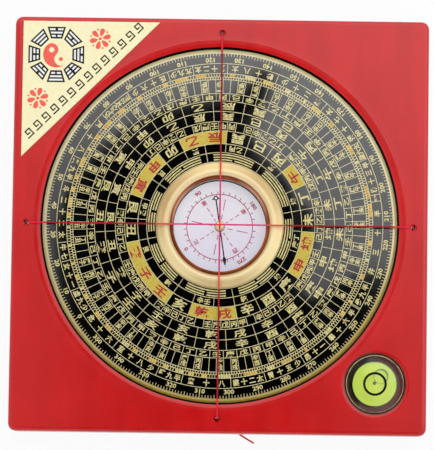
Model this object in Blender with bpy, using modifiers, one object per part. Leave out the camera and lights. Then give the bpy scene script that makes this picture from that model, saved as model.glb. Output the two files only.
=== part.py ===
"""Feng shui compass: a red square base with a turning dial, a magnetic compass at its centre, a round
level in one corner and two crossed sighting threads. Metres, +Z up. It stands on z = 0, centred on the
Z axis, and +Y is the side with the corner label on its left."""

import math

import bmesh
import bpy
from mathutils import Vector

# Base plate
PLATE_SIDE = 0.110
PLATE_HEIGHT = 0.012
PLATE_CORNER_R = 0.002
PLATE_EDGE_R = 0.0012
PLATE_MARGIN = 0.0076  # least width of plate beside the recess
RECESS_LIP_WIDTH = 0.0028  # the soft edge that falls away towards the recess
RECESS_LIP_DROP = 0.0003
BORE_LIP_WIDTH = 0.0010
BORE_LIP_DROP = 0.0002

# Clearances
SEAT_GAP = 0.0001  # between faces that are seated or glued
SIDE_GAP = 0.0002  # round a piece that is pushed into its hole
RUNNING_GAP = 0.0003  # round the cup, which is the dial's bearing
DIAL_GAP = 0.0005  # ring of shadow between dial and plate
CUT_OVERRUN = 0.0010

# Dial
DIAL_SINK = 0.0012  # from the plate's top down to the dial's face
FACE_THICKNESS = 0.0008
FACE_CHAMFER_WIDTH = 0.0011
FACE_CHAMFER_HEIGHT = 0.0003
DISC_THICKNESS = 0.0037
DISC_CHAMFER = 0.0005
GLIDE_THICKNESS = 0.0004
GLIDE_WIDTH = 0.005
GLIDE_INSET = 0.006  # from the dial's rim in to the glide ring

# Compass capsule, from its inner wall outward
POOL_R = 0.0125
CUP_WALL = 0.0019
CUP_FLOOR = 0.0010
CUP_CHAMFER = 0.0004
FLANGE_WIDTH = 0.0018
FLANGE_THICKNESS = 0.0005
GLASS_THICKNESS = 0.0010
RETAINER_OVERHANG = 0.0002
RETAINER_WIDTH = 0.00125
RETAINER_HEIGHT = 0.0006
RETAINER_SHOWS = 0.00095  # how much of the retainer shows inside the bezel
BEZEL_LIP = 0.0004
BEZEL_INNER_RISE = 0.00025
BEZEL_CREST_WIDTH = 0.0011  # from the inner edge up to the crest
BEZEL_SLOPE_DROP = 0.0003  # from the crest out to the shoulder
BEZEL_SHOULDER_WIDTH = 0.0005
BEZEL_OUTER_RISE = 0.00015
BEZEL_UNDER_THREAD = 0.0001  # from the plate's top down to the bezel's crest
CARD_THICKNESS = 0.0004

# Needle and its pivot
NEEDLE_TURN_DEG = 8.6  # anticlockwise from the plate's front edge, seen from above
NEEDLE_HEAD_GAP = 0.0017  # from the head's point to the cup's wall
NEEDLE_TAIL_GAP = 0.00495  # from the middle of the tail's ring to the cup's wall
NEEDLE_THICKNESS = 0.00025
NEEDLE_OVER_CARD = 0.00285
SHAFT_HALF_WIDTH = 0.00017
HEAD_LENGTH = 0.0027
HEAD_HALF_WIDTH = 0.00052
HEAD_WAIST_SHARE = 0.62  # of the head's length, from its point back to the widest place
TAIL_RING_R = 0.00062
TAIL_RING_WIDTH = 0.00027
HORN_REACH = 0.00058
HORN_DEG = -12  # from the ring's side, so that the horns hang a little
HORN_HALF_ROOT_DEG = 22
SPUR_REACH = 0.00022  # the two small points at the ring's far side
SPUR_DEG = 58
SPUR_HALF_ROOT_DEG = 13
EYE_RING_WIDTH = 0.00045
CAP_NECK_R = 0.00085
CAP_FLANGE_WIDTH = 0.0003
CAP_FLANGE_THICKNESS = 0.0002
CAP_DOME_R = 0.0013
CAP_DOME_HEIGHT = 0.0011
CAP_CROWN = 0.0003
CAP_WALL = 0.0001
CAP_UNDER_GLASS = 0.0004
JEWEL_HEIGHT = 0.00035
JEWEL_PIT_R = 0.0004
JEWEL_PIT_DEPTH = 0.00022
JEWEL_GAP = 0.00005
POST_R = 0.0004
POST_TIP_HEIGHT = 0.0012
POST_TIP_GAP = 0.0001
COLLAR_R = 0.0013
COLLAR_THICKNESS = 0.0004
POST_ROOT_DEPTH = 0.0007

# Round level
LEVEL_WALL = 0.00315  # plate left between the recess and the level's bore
VIAL_R = 0.0077
VIAL_WALL = 0.0017
VIAL_HEIGHT = 0.0084
VIAL_SINK = 0.0002
VIAL_CROWN = 0.00125
VIAL_EDGE_R = 0.0004
DOME_RISE = 0.00035
PLUG_THICKNESS = 0.0015
BACKING_THICKNESS = 0.0003
FLUID_GAP = 0.00015
FLUID_UNDER_DOME = 0.00135
BUBBLE_R = 0.00195
BUBBLE_HALF_HEIGHT = 0.00045
BUBBLE_UNDER_DOME = 0.00015
BUBBLE_OFFSET = 0.00261
BUBBLE_DIRECTION_DEG = 51.6

# Corner label
LABEL_INSET_X = 0.0022
LABEL_INSET_Y = 0.0013
LABEL_RECESS_MARGIN = 0.0023
LABEL_THICKNESS = 0.0002

# Sighting threads, their knots and the loose end
THREAD_R = 0.00025
THREAD_LIFT = 0.00015  # from the plate's top up to the thread
THREAD_BEND_R = 0.0010
HOLE_R = 0.0007
HOLE_COUNTERSINK = 0.00025
KNOT_R = 0.00075
KNOT_CLEAR = 0.0002  # from the table up to the knot
POCKET_R = 0.0016
POCKET_OVER_KNOT = 0.0001
GROOVE_WIDTH = 0.0010
GROOVE_DEPTH = 0.0008
GROOVE_TURN_DEG = -31.8
TAIL_ROUTE = (
    (0.00098, -0.05181, 0.00048),
    (0.00250, -0.05275, 0.00046),
    (0.00450, -0.05399, 0.00042),
    (0.00660, -0.05529, 0.00034),
    (0.00830, -0.05632, 0.00029),
    (0.00990, -0.05722, 0.00027),
)

# Facets
WIDE_STEPS = 96
CAPSULE_STEPS = 56
LEVEL_STEPS = 48
FLUID_STEPS = 40
SMALL_STEPS = 24
PIN_STEPS = 16
CORNER_STEPS = 4
FILLET_STEPS = 3
DOME_STEPS = 5
CIRCLE_STEPS = 20
THREAD_BEVEL_STEPS = 2
TAIL_POINTS_PER_SPAN = 3
MERGE_DISTANCE = 0.00001
SHARP_DEG = 32
ROUND_PROFILE = 0.5
QUARTER_DEG = 90
HALF_DEG = 180
DIAGONAL_DEG = 45

# Radii that follow from the sizes above
RECESS_R = PLATE_SIDE / 2 - PLATE_MARGIN
DIAL_R = RECESS_R - DIAL_GAP
CUP_R = POOL_R + CUP_WALL
CUP_BORE_R = CUP_R + RUNNING_GAP
DISC_HOLE_R = CUP_R + SIDE_GAP
FLANGE_R = CUP_R + FLANGE_WIDTH
FACE_HOLE_R = FLANGE_R + SIDE_GAP
RETAINER_INNER_R = POOL_R - RETAINER_OVERHANG
RETAINER_R = RETAINER_INNER_R + RETAINER_WIDTH
GLASS_R = RETAINER_R
REBATE_R = GLASS_R + SIDE_GAP
BEZEL_INNER_R = RETAINER_INNER_R + RETAINER_SHOWS
BEZEL_BODY_R = FACE_HOLE_R - SIDE_GAP
BEZEL_R = FACE_HOLE_R + BEZEL_LIP
THREAD_HOLE_REACH = RECESS_R + PLATE_MARGIN / 2
LEVEL_BORE_R = VIAL_R + RUNNING_GAP
LEVEL_REACH = RECESS_R + LEVEL_WALL + LEVEL_BORE_R
LEVEL_X = LEVEL_REACH * math.cos(math.radians(DIAGONAL_DEG))
LEVEL_Y = -LEVEL_REACH * math.sin(math.radians(DIAGONAL_DEG))
VIAL_BORE_R = VIAL_R - VIAL_WALL
PLUG_R = VIAL_BORE_R - SEAT_GAP
DOME_R = (VIAL_BORE_R**2 + DOME_RISE**2) / (2 * DOME_RISE)

# Heights that follow from the sizes above
FACE_TOP = PLATE_HEIGHT - DIAL_SINK
FACE_BOTTOM = FACE_TOP - FACE_THICKNESS
DISC_TOP = FACE_BOTTOM - SEAT_GAP
DISC_BOTTOM = DISC_TOP - DISC_THICKNESS
GLIDE_TOP = DISC_BOTTOM - SEAT_GAP
GLIDE_BOTTOM = GLIDE_TOP - GLIDE_THICKNESS
RECESS_FLOOR = GLIDE_BOTTOM - SEAT_GAP
FLANGE_BOTTOM = DISC_TOP + SEAT_GAP
FLANGE_TOP = FLANGE_BOTTOM + FLANGE_THICKNESS
GLASS_TOP = FLANGE_TOP - SIDE_GAP
GLASS_BOTTOM = GLASS_TOP - GLASS_THICKNESS
LEDGE_TOP = GLASS_BOTTOM - SEAT_GAP
RETAINER_BOTTOM = GLASS_TOP + SEAT_GAP
RETAINER_TOP = RETAINER_BOTTOM + RETAINER_HEIGHT
BEZEL_BOTTOM = FLANGE_TOP + SEAT_GAP
BEZEL_OUTER_LIP = FACE_TOP + SEAT_GAP
BEZEL_INNER_LIP = RETAINER_TOP + SEAT_GAP
BEZEL_TOP = PLATE_HEIGHT - BEZEL_UNDER_THREAD
CAP_TOP = GLASS_BOTTOM - CAP_UNDER_GLASS
CAP_DOME_BOTTOM = CAP_TOP - CAP_DOME_HEIGHT
NEEDLE_TOP = CAP_DOME_BOTTOM - SEAT_GAP
NEEDLE_BOTTOM = NEEDLE_TOP - NEEDLE_THICKNESS
CAP_FLANGE_TOP = NEEDLE_BOTTOM - SEAT_GAP / 2
CAP_BOTTOM = CAP_FLANGE_TOP - CAP_FLANGE_THICKNESS
CAP_BORE_TOP = CAP_TOP - CAP_CROWN
CAP_BORE_R = CAP_NECK_R - CAP_WALL
JEWEL_TOP = CAP_BORE_TOP - JEWEL_GAP
JEWEL_BOTTOM = JEWEL_TOP - JEWEL_HEIGHT
POST_TIP = JEWEL_BOTTOM + JEWEL_PIT_DEPTH - POST_TIP_GAP
CARD_TOP = NEEDLE_BOTTOM - NEEDLE_OVER_CARD
CARD_BOTTOM = CARD_TOP - CARD_THICKNESS
CUP_FLOOR_TOP = CARD_BOTTOM - SEAT_GAP
CUP_BOTTOM = CUP_FLOOR_TOP - CUP_FLOOR
COLLAR_BOTTOM = CARD_TOP + SEAT_GAP
COLLAR_TOP = COLLAR_BOTTOM + COLLAR_THICKNESS
POST_BOTTOM = CUP_FLOOR_TOP - POST_ROOT_DEPTH + SEAT_GAP
VIAL_TOP = PLATE_HEIGHT - VIAL_SINK
VIAL_BOTTOM = VIAL_TOP - VIAL_HEIGHT
LEVEL_FLOOR = VIAL_BOTTOM - SIDE_GAP
DOME_APEX = VIAL_TOP - VIAL_CROWN
DOME_CENTRE_Z = DOME_APEX - DOME_R
PLUG_TOP = VIAL_BOTTOM + PLUG_THICKNESS
BACKING_TOP = PLUG_TOP + SEAT_GAP + BACKING_THICKNESS
FLUID_TOP = DOME_APEX - FLUID_UNDER_DOME
BUBBLE_SWING_R = DOME_R - BUBBLE_UNDER_DOME - BUBBLE_HALF_HEIGHT
LABEL_BOTTOM = PLATE_HEIGHT + SEAT_GAP
THREAD_Z = PLATE_HEIGHT + THREAD_LIFT + THREAD_R
CROSSING_Z = THREAD_Z + 2 * THREAD_R + SEAT_GAP
KNOT_Z = KNOT_CLEAR + KNOT_R
POCKET_TOP = KNOT_Z + KNOT_R + POCKET_OVER_KNOT


def clear_scene():
    for obj in list(bpy.data.objects):
        bpy.data.objects.remove(obj)


def new_collection(name):
    made = bpy.data.collections.new(name)
    bpy.context.scene.collection.children.link(made)
    return made


def new_material(name, colour, roughness, metallic=0.0, transmission=0.0):
    made = bpy.data.materials.new(name)
    made.use_nodes = True
    shader = made.node_tree.nodes["Principled BSDF"]
    shader.inputs["Base Color"].default_value = (*colour, 1.0)
    shader.inputs["Roughness"].default_value = roughness
    shader.inputs["Metallic"].default_value = metallic
    shader.inputs["Transmission Weight"].default_value = transmission
    made.diffuse_color = (*colour, 1.0)
    return made


def new_empty(name, place, parent=None, turn=(0, 0, 0)):
    """An axis that pieces are parented to, at a place given from its parent."""
    made = bpy.data.objects.new(name, None)
    made.empty_display_size = POOL_R
    made.location = place
    made.rotation_euler = turn
    made.parent = parent
    PARTS.objects.link(made)
    return made


def evaluated_mesh(obj):
    """The object's mesh with its modifiers applied and loose caps welded."""
    bpy.context.view_layer.update()
    graph = bpy.context.evaluated_depsgraph_get()
    mesh = bpy.data.meshes.new_from_object(obj.evaluated_get(graph))
    bm = bmesh.new()
    bm.from_mesh(mesh)
    bmesh.ops.remove_doubles(bm, verts=bm.verts, dist=MERGE_DISTANCE)
    bm.to_mesh(mesh)
    bm.free()
    return mesh


def as_cutter(obj):
    """Puts a helper shape with the cutters, out of the render."""
    PARTS.objects.unlink(obj)
    CUTTERS.objects.link(obj)
    obj.hide_render = True
    obj.display_type = "WIRE"
    return obj


def combine(obj, other, operation):
    modifier = obj.modifiers.new(other.name, "BOOLEAN")
    modifier.operation = operation
    modifier.solver = "EXACT"
    modifier.object = as_cutter(other)


def finished(obj, material, parent=None):
    """Applies the modifiers, shades the round faces smooth and hangs the piece on its axis."""
    mesh = evaluated_mesh(obj)
    obj.modifiers.clear()
    if obj.type == "MESH":
        obj.data = mesh
        made = obj
    else:
        name = obj.name
        obj.name = name + "_curve"
        made = bpy.data.objects.new(name, mesh)
        made.matrix_world = obj.matrix_world
        PARTS.objects.link(made)
        bpy.data.objects.remove(obj)
    mesh.name = made.name
    mesh.shade_smooth()
    mesh.set_sharp_from_angle(angle=math.radians(SHARP_DEG))
    mesh.materials.clear()
    mesh.materials.append(material)
    made.parent = parent
    return made


def arc(centre_r, centre_z, radius, start_deg, end_deg, steps):
    """Profile points (radius, height) along a circle, both ends included."""
    turns = [math.radians(start_deg + (end_deg - start_deg) * k / steps) for k in range(steps + 1)]
    return [(centre_r + radius * math.cos(turn), centre_z + radius * math.sin(turn)) for turn in turns]


def quarter_round(centre, width, height, steps):
    """Profile points on a quarter of an ellipse, from its side up to its top."""
    turns = [math.radians(QUARTER_DEG * k / steps) for k in range(steps + 1)]
    return [(centre[0] + width * math.cos(turn), centre[1] + height * math.sin(turn)) for turn in turns]


def turned(name, profile, steps, ring=False):
    """A shape turned about Z. The profile runs down its outer side; a ring's profile closes on itself."""
    mesh = bpy.data.meshes.new(name)
    edges = [(k, k + 1) for k in range(len(profile) - 1)]
    if ring:
        edges.append((len(profile) - 1, 0))
    mesh.from_pydata([(radius, 0, height) for radius, height in profile], edges, [])
    made = bpy.data.objects.new(name, mesh)
    PARTS.objects.link(made)
    screw = made.modifiers.new("Screw", "SCREW")
    screw.axis = "Z"
    screw.steps = steps
    screw.render_steps = steps
    screw.use_merge_vertices = True
    screw.merge_threshold = MERGE_DISTANCE
    return made


def flat_ring(inner_r, outer_r, bottom, top):
    """The closed profile of a plain washer."""
    return [(inner_r, top), (outer_r, top), (outer_r, bottom), (inner_r, bottom)]


def flat_disc(radius, bottom, top):
    return [(0, top), (radius, top), (radius, bottom), (0, bottom)]


def bore_profile(radius, floor, lip_width, lip_drop):
    """A cutter for a round hole in the plate whose mouth falls away in a soft lip."""
    lip_r = (lip_width**2 + lip_drop**2) / (2 * lip_drop)
    slope = math.degrees(math.asin(lip_width / lip_r))
    mouth = radius + lip_width
    above = PLATE_HEIGHT + CUT_OVERRUN
    lip = arc(mouth, PLATE_HEIGHT - lip_r, lip_r, QUARTER_DEG, QUARTER_DEG + slope, FILLET_STEPS)
    return [(0, above), (mouth, above), *lip, (radius, floor), (0, floor)]


def flat_outline(name, outlines, thickness, bottom):
    """A flat piece from closed outlines; an outline inside another is a hole in it."""
    curve = bpy.data.curves.new(name, "CURVE")
    curve.dimensions = "2D"
    curve.fill_mode = "BOTH"
    curve.extrude = thickness / 2
    for outline in outlines:
        spline = curve.splines.new("POLY")
        spline.points.add(len(outline) - 1)
        for point, (x, y) in zip(spline.points, outline):
            point.co = (x, y, 0, 1)
        spline.use_cyclic_u = True
    made = bpy.data.objects.new(name, curve)
    made.location.z = bottom + thickness / 2
    PARTS.objects.link(made)
    return made


def tube(name, points, radius):
    curve = bpy.data.curves.new(name, "CURVE")
    curve.dimensions = "3D"
    curve.bevel_depth = radius
    curve.bevel_resolution = THREAD_BEVEL_STEPS
    curve.use_fill_caps = True
    spline = curve.splines.new("POLY")
    spline.points.add(len(points) - 1)
    for point, place in zip(spline.points, points):
        point.co = (*place, 1)
    made = bpy.data.objects.new(name, curve)
    PARTS.objects.link(made)
    return made


def circle(radius, centre_y=0.0, start_deg=0.0, end_deg=360.0, steps=CIRCLE_STEPS):
    """Outline points on a circle about a place on the Y axis, its last point left off when it is whole."""
    points = arc(0, centre_y, radius, start_deg, end_deg, steps)
    return points[:-1] if end_deg - start_deg == 2 * HALF_DEG else points


def smooth_route(places, per_span):
    """Points on a smooth curve through a cord's own places."""
    knots = [Vector(place) for place in places]
    ends = [2 * knots[0] - knots[1], *knots, 2 * knots[-1] - knots[-2]]
    points = []
    for before, start, end, after in zip(ends, ends[1:], ends[2:], ends[3:]):
        for k in range(per_span):
            t = k / per_span
            lead = (end - before) / 2
            follow = (after - start) / 2
            points.append(
                start * (2 * t**3 - 3 * t**2 + 1)
                + lead * (t**3 - 2 * t**2 + t)
                + end * (3 * t**2 - 2 * t**3)
                + follow * (t**3 - t**2)
            )
    return [*points, knots[-1]]


def base_plate():
    """The square plate with the dial's recess and bore, the level's bore and the threads' holes."""
    bm = bmesh.new()
    bmesh.ops.create_cube(bm, size=1)
    bmesh.ops.scale(bm, vec=(PLATE_SIDE, PLATE_SIDE, PLATE_HEIGHT), verts=bm.verts)
    bmesh.ops.translate(bm, vec=(0, 0, PLATE_HEIGHT / 2), verts=bm.verts)
    upright = [edge for edge in bm.edges if edge.verts[0].co.z != edge.verts[1].co.z]
    bmesh.ops.bevel(
        bm, geom=upright, offset=PLATE_CORNER_R, segments=CORNER_STEPS, profile=ROUND_PROFILE, affect="EDGES"
    )
    rims = [edge for edge in bm.edges if abs(edge.verts[0].co.z - edge.verts[1].co.z) < PLATE_EDGE_R]
    bmesh.ops.bevel(
        bm, geom=rims, offset=PLATE_EDGE_R, segments=FILLET_STEPS, profile=ROUND_PROFILE, affect="EDGES"
    )
    mesh = bpy.data.meshes.new("base_plate")
    bm.to_mesh(mesh)
    bm.free()
    plate = bpy.data.objects.new("base_plate", mesh)
    PARTS.objects.link(plate)

    recess = bore_profile(RECESS_R, RECESS_FLOOR, RECESS_LIP_WIDTH, RECESS_LIP_DROP)
    combine(plate, turned("recess_cutter", recess, WIDE_STEPS), "DIFFERENCE")
    cup_bore = flat_disc(CUP_BORE_R, -CUT_OVERRUN, RECESS_FLOOR + CUT_OVERRUN)
    combine(plate, turned("cup_bore_cutter", cup_bore, CAPSULE_STEPS), "DIFFERENCE")
    level_bore = bore_profile(LEVEL_BORE_R, LEVEL_FLOOR, BORE_LIP_WIDTH, BORE_LIP_DROP)
    level_cutter = turned("level_bore_cutter", level_bore, LEVEL_STEPS)
    level_cutter.location = (LEVEL_X, LEVEL_Y, 0)
    combine(plate, level_cutter, "DIFFERENCE")
    for side, (x, y) in THREAD_HOLES.items():
        hole = turned(f"thread_hole_cutter_{side}", thread_hole_profile(), SMALL_STEPS)
        hole.location = (x, y, 0)
        combine(plate, hole, "DIFFERENCE")
    combine(plate, groove_cutter(), "DIFFERENCE")
    return finished(plate, new_material("red_lacquer", (0.58, 0.03, 0.04), 0.3))


def thread_hole_profile():
    """A thread's hole with a countersunk mouth above and the knot's pocket below."""
    mouth = HOLE_R + HOLE_COUNTERSINK
    return [
        (0, PLATE_HEIGHT + CUT_OVERRUN),
        (mouth, PLATE_HEIGHT + CUT_OVERRUN),
        (mouth, PLATE_HEIGHT),
        (HOLE_R, PLATE_HEIGHT - HOLE_COUNTERSINK),
        (HOLE_R, POCKET_TOP),
        (POCKET_R, POCKET_TOP),
        (POCKET_R, -CUT_OVERRUN),
        (0, -CUT_OVERRUN),
    ]


def groove_cutter():
    """The slot under the front edge that the thread's loose end comes out of."""
    x, y = THREAD_HOLES["south"]
    length = PLATE_MARGIN / math.sin(math.radians(-GROOVE_TURN_DEG))
    bm = bmesh.new()
    bmesh.ops.create_cube(bm, size=1)
    bmesh.ops.scale(bm, vec=(length, GROOVE_WIDTH, GROOVE_DEPTH + CUT_OVERRUN), verts=bm.verts)
    bmesh.ops.translate(bm, vec=(length / 2, 0, (GROOVE_DEPTH - CUT_OVERRUN) / 2), verts=bm.verts)
    mesh = bpy.data.meshes.new("groove_cutter")
    bm.to_mesh(mesh)
    bm.free()
    cutter = bpy.data.objects.new("groove_cutter", mesh)
    cutter.location = (x, y, 0)
    cutter.rotation_euler.z = math.radians(GROOVE_TURN_DEG)
    PARTS.objects.link(cutter)
    return cutter


def corner_label():
    """The printed triangle glued in the far left corner."""
    left = -PLATE_SIDE / 2 + LABEL_INSET_X
    far = PLATE_SIDE / 2 - LABEL_INSET_Y
    slant = (RECESS_R + LABEL_RECESS_MARGIN) / math.sin(math.radians(DIAGONAL_DEG))
    leg = far - left - slant
    outline = [(left, far), (left, far - leg), (left + leg, far)]
    label = flat_outline("corner_label", [outline], LABEL_THICKNESS, LABEL_BOTTOM)
    return finished(label, new_material("label_paper", (0.93, 0.86, 0.52), 0.6))


def thread_points(crossing_z):
    """Half a thread along +X, from its knot up through the hole and over to the middle."""
    bend_start = THREAD_Z - THREAD_BEND_R
    bend = arc(THREAD_HOLE_REACH - THREAD_BEND_R, bend_start, THREAD_BEND_R, 0, QUARTER_DEG, FILLET_STEPS)
    return [(THREAD_HOLE_REACH, KNOT_Z), *bend, (0, crossing_z)]


def sighting_thread(name, along, crossing_z, material):
    """A taut thread across the dial, with a knot in the pocket under each of its two holes."""
    half = thread_points(crossing_z)
    run = [(reach, height) for reach, height in half] + [(-reach, height) for reach, height in half[-2::-1]]
    if along == "X":
        points = [(reach, 0, height) for reach, height in run]
    else:
        points = [(0, reach, height) for reach, height in run]
    thread = tube(name, points, THREAD_R)
    thread = finished(thread, material)
    for side, place in (("start", points[0]), ("end", points[-1])):
        bm = bmesh.new()
        bmesh.ops.create_uvsphere(bm, u_segments=PIN_STEPS, v_segments=PIN_STEPS // 2, radius=KNOT_R)
        mesh = bpy.data.meshes.new(f"{name}_knot_{side}")
        bm.to_mesh(mesh)
        bm.free()
        knot = bpy.data.objects.new(mesh.name, mesh)
        knot.location = place
        PARTS.objects.link(knot)
        combine(thread, knot, "UNION")
    return finished(thread, material)


def glide_ring():
    """The felt ring that the dial turns on."""
    outer = DIAL_R - GLIDE_INSET
    profile = flat_ring(outer - GLIDE_WIDTH, outer, GLIDE_BOTTOM, GLIDE_TOP)
    return finished(turned("glide_ring", profile, CAPSULE_STEPS, ring=True), FELT)


def dial_disc():
    """The thick disc that carries the printed face and the compass cup."""
    profile = [
        (DISC_HOLE_R, DISC_TOP),
        (DIAL_R, DISC_TOP),
        (DIAL_R, DISC_BOTTOM + DISC_CHAMFER),
        (DIAL_R - DISC_CHAMFER, DISC_BOTTOM),
        (DISC_HOLE_R, DISC_BOTTOM),
    ]
    disc = turned("dial_disc", profile, WIDE_STEPS, ring=True)
    return finished(disc, new_material("black_moulding", (0.02, 0.02, 0.022), 0.5), DIAL_AXIS)


def dial_face():
    """The etched brass plate that holds the printed rings, with its rim chamfered."""
    profile = [
        (FACE_HOLE_R, FACE_TOP),
        (DIAL_R - FACE_CHAMFER_WIDTH, FACE_TOP),
        (DIAL_R, FACE_TOP - FACE_CHAMFER_HEIGHT),
        (DIAL_R, FACE_BOTTOM),
        (FACE_HOLE_R, FACE_BOTTOM),
    ]
    face = turned("dial_face", profile, WIDE_STEPS, ring=True)
    return finished(face, new_material("black_enamel", (0.015, 0.015, 0.02), 0.15), DIAL_AXIS)


def compass_cup():
    """The brass cup: a floor with the post's hole, a rebate for the glass and a flange on the disc."""
    hole_r = POST_R + SIDE_GAP
    profile = [
        (0, CUP_FLOOR_TOP - POST_ROOT_DEPTH),
        (hole_r, CUP_FLOOR_TOP - POST_ROOT_DEPTH),
        (hole_r, CUP_FLOOR_TOP),
        (POOL_R, CUP_FLOOR_TOP),
        (POOL_R, LEDGE_TOP),
        (REBATE_R, LEDGE_TOP),
        (REBATE_R, FLANGE_TOP),
        (FLANGE_R, FLANGE_TOP),
        (FLANGE_R, FLANGE_BOTTOM),
        (CUP_R, FLANGE_BOTTOM),
        (CUP_R, CUP_BOTTOM + CUP_CHAMFER),
        (CUP_R - CUP_CHAMFER, CUP_BOTTOM),
        (0, CUP_BOTTOM),
    ]
    return finished(turned("compass_cup", profile, CAPSULE_STEPS), BRASS, DIAL_AXIS)


def compass_card():
    """The white printed card on the cup's floor."""
    profile = flat_ring(POST_R + SIDE_GAP, POOL_R - SIDE_GAP, CARD_BOTTOM, CARD_TOP)
    card = turned("compass_card", profile, CAPSULE_STEPS, ring=True)
    return finished(card, new_material("card_paper", (0.8, 0.8, 0.88), 0.6), DIAL_AXIS)


def compass_glass():
    profile = flat_disc(GLASS_R, GLASS_BOTTOM, GLASS_TOP)
    return finished(turned("compass_glass", profile, CAPSULE_STEPS), CLEAR, DIAL_AXIS)


def compass_retainer():
    """The copper ring that holds the glass down, its inner edge rounded."""
    round_r = RETAINER_HEIGHT / 2
    centre = (RETAINER_INNER_R + round_r, RETAINER_BOTTOM + round_r)
    edge = arc(*centre, round_r, HALF_DEG, QUARTER_DEG, FILLET_STEPS)
    profile = [
        *edge,
        (RETAINER_R, RETAINER_TOP),
        (RETAINER_R, RETAINER_BOTTOM),
        (RETAINER_INNER_R, RETAINER_BOTTOM),
    ]
    ring = turned("compass_retainer", profile, CAPSULE_STEPS, ring=True)
    return finished(ring, new_material("copper", (0.55, 0.17, 0.07), 0.3, metallic=1.0), DIAL_AXIS)


def compass_bezel():
    """The brass ring: a crest near its inside, a long slope outward, and lips over retainer and face."""
    inner_edge = BEZEL_INNER_LIP + BEZEL_INNER_RISE
    outer_edge = BEZEL_OUTER_LIP + BEZEL_OUTER_RISE
    crest_r = BEZEL_INNER_R + BEZEL_CREST_WIDTH
    shoulder_r = BEZEL_R - BEZEL_SHOULDER_WIDTH
    shoulder_height = BEZEL_TOP - BEZEL_SLOPE_DROP - outer_edge
    crest = quarter_round((crest_r, inner_edge), -BEZEL_CREST_WIDTH, BEZEL_TOP - inner_edge, DOME_STEPS)
    shoulder = quarter_round((shoulder_r, outer_edge), BEZEL_SHOULDER_WIDTH, shoulder_height, FILLET_STEPS)
    profile = [
        *crest,
        *reversed(shoulder),
        (BEZEL_R, BEZEL_OUTER_LIP),
        (BEZEL_BODY_R, BEZEL_OUTER_LIP),
        (BEZEL_BODY_R, BEZEL_BOTTOM),
        (RETAINER_R + SIDE_GAP, BEZEL_BOTTOM),
        (RETAINER_R + SIDE_GAP, BEZEL_INNER_LIP),
        (BEZEL_INNER_R, BEZEL_INNER_LIP),
    ]
    return finished(turned("compass_bezel", profile, CAPSULE_STEPS, ring=True), BRASS, DIAL_AXIS)


def pivot_post():
    """The pin that the needle balances on, with the collar that holds the card."""
    profile = [
        (0, POST_TIP),
        (POST_R, POST_TIP - POST_TIP_HEIGHT),
        (POST_R, COLLAR_TOP),
        (COLLAR_R, COLLAR_TOP),
        (COLLAR_R, COLLAR_BOTTOM),
        (POST_R, COLLAR_BOTTOM),
        (POST_R, POST_BOTTOM),
        (0, POST_BOTTOM),
    ]
    return finished(turned("pivot_post", profile, PIN_STEPS), BRASS, DIAL_AXIS)


def tail_ring_half(ring_y):
    """The right side of the tail's ring, from its far side past the spur and the horn to the shaft."""
    horns = ((SPUR_DEG, SPUR_HALF_ROOT_DEG, SPUR_REACH), (HORN_DEG, HORN_HALF_ROOT_DEG, HORN_REACH))
    neck_deg = math.degrees(math.asin(SHAFT_HALF_WIDTH / TAIL_RING_R)) - QUARTER_DEG
    points = []
    start_deg = QUARTER_DEG
    for middle_deg, half_root_deg, reach in horns:
        turn = math.radians(middle_deg)
        tip_r = TAIL_RING_R + reach
        points += circle(TAIL_RING_R, ring_y, start_deg, middle_deg + half_root_deg, FILLET_STEPS)
        points.append((tip_r * math.cos(turn), ring_y + tip_r * math.sin(turn)))
        start_deg = middle_deg - half_root_deg
    return points + circle(TAIL_RING_R, ring_y, start_deg, neck_deg, FILLET_STEPS)


def needle_half_outline():
    """The needle's right side from its tail, at +Y, to the point of its head, at -Y."""
    eye_r = CAP_NECK_R + SEAT_GAP + EYE_RING_WIDTH
    eye_neck = math.degrees(math.asin(SHAFT_HALF_WIDTH / eye_r))
    eye = circle(eye_r, 0, QUARTER_DEG - eye_neck, eye_neck - QUARTER_DEG, 2 * DOME_STEPS)
    point_y = NEEDLE_HEAD_GAP - POOL_R
    head = [
        (SHAFT_HALF_WIDTH, point_y + HEAD_LENGTH),
        (HEAD_HALF_WIDTH, point_y + HEAD_LENGTH * HEAD_WAIST_SHARE),
        (0, point_y),
    ]
    return [*tail_ring_half(POOL_R - NEEDLE_TAIL_GAP), *eye, *head]


def needle():
    """The flat needle: a horned ring at its tail, an eye round the cap and a spear head."""
    right = needle_half_outline()
    left = [(-x, y) for x, y in right[-2:0:-1]]
    ring_hole = circle(TAIL_RING_R - TAIL_RING_WIDTH, POOL_R - NEEDLE_TAIL_GAP)
    eye_hole = circle(CAP_NECK_R + SEAT_GAP)
    blade = flat_outline("needle", [right + left, ring_hole, eye_hole], NEEDLE_THICKNESS, NEEDLE_BOTTOM)
    return finished(blade, new_material("blued_steel", (0.02, 0.02, 0.025), 0.3, metallic=1.0), NEEDLE_AXIS)


def needle_cap():
    """The brass cap: a flange under the needle's eye, a neck through it and a dome over it."""
    round_r = CAP_DOME_HEIGHT / 2
    dome = arc(CAP_DOME_R - round_r, CAP_TOP - round_r, round_r, QUARTER_DEG, 0, FILLET_STEPS)
    profile = [
        (0, CAP_TOP),
        *dome,
        (CAP_DOME_R, CAP_DOME_BOTTOM),
        (CAP_NECK_R, CAP_DOME_BOTTOM),
        (CAP_NECK_R, CAP_FLANGE_TOP),
        (CAP_NECK_R + CAP_FLANGE_WIDTH, CAP_FLANGE_TOP),
        (CAP_NECK_R + CAP_FLANGE_WIDTH, CAP_BOTTOM),
        (CAP_BORE_R, CAP_BOTTOM),
        (CAP_BORE_R, CAP_BORE_TOP),
        (0, CAP_BORE_TOP),
    ]
    return finished(turned("needle_cap", profile, SMALL_STEPS), BRASS, NEEDLE_AXIS)


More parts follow.
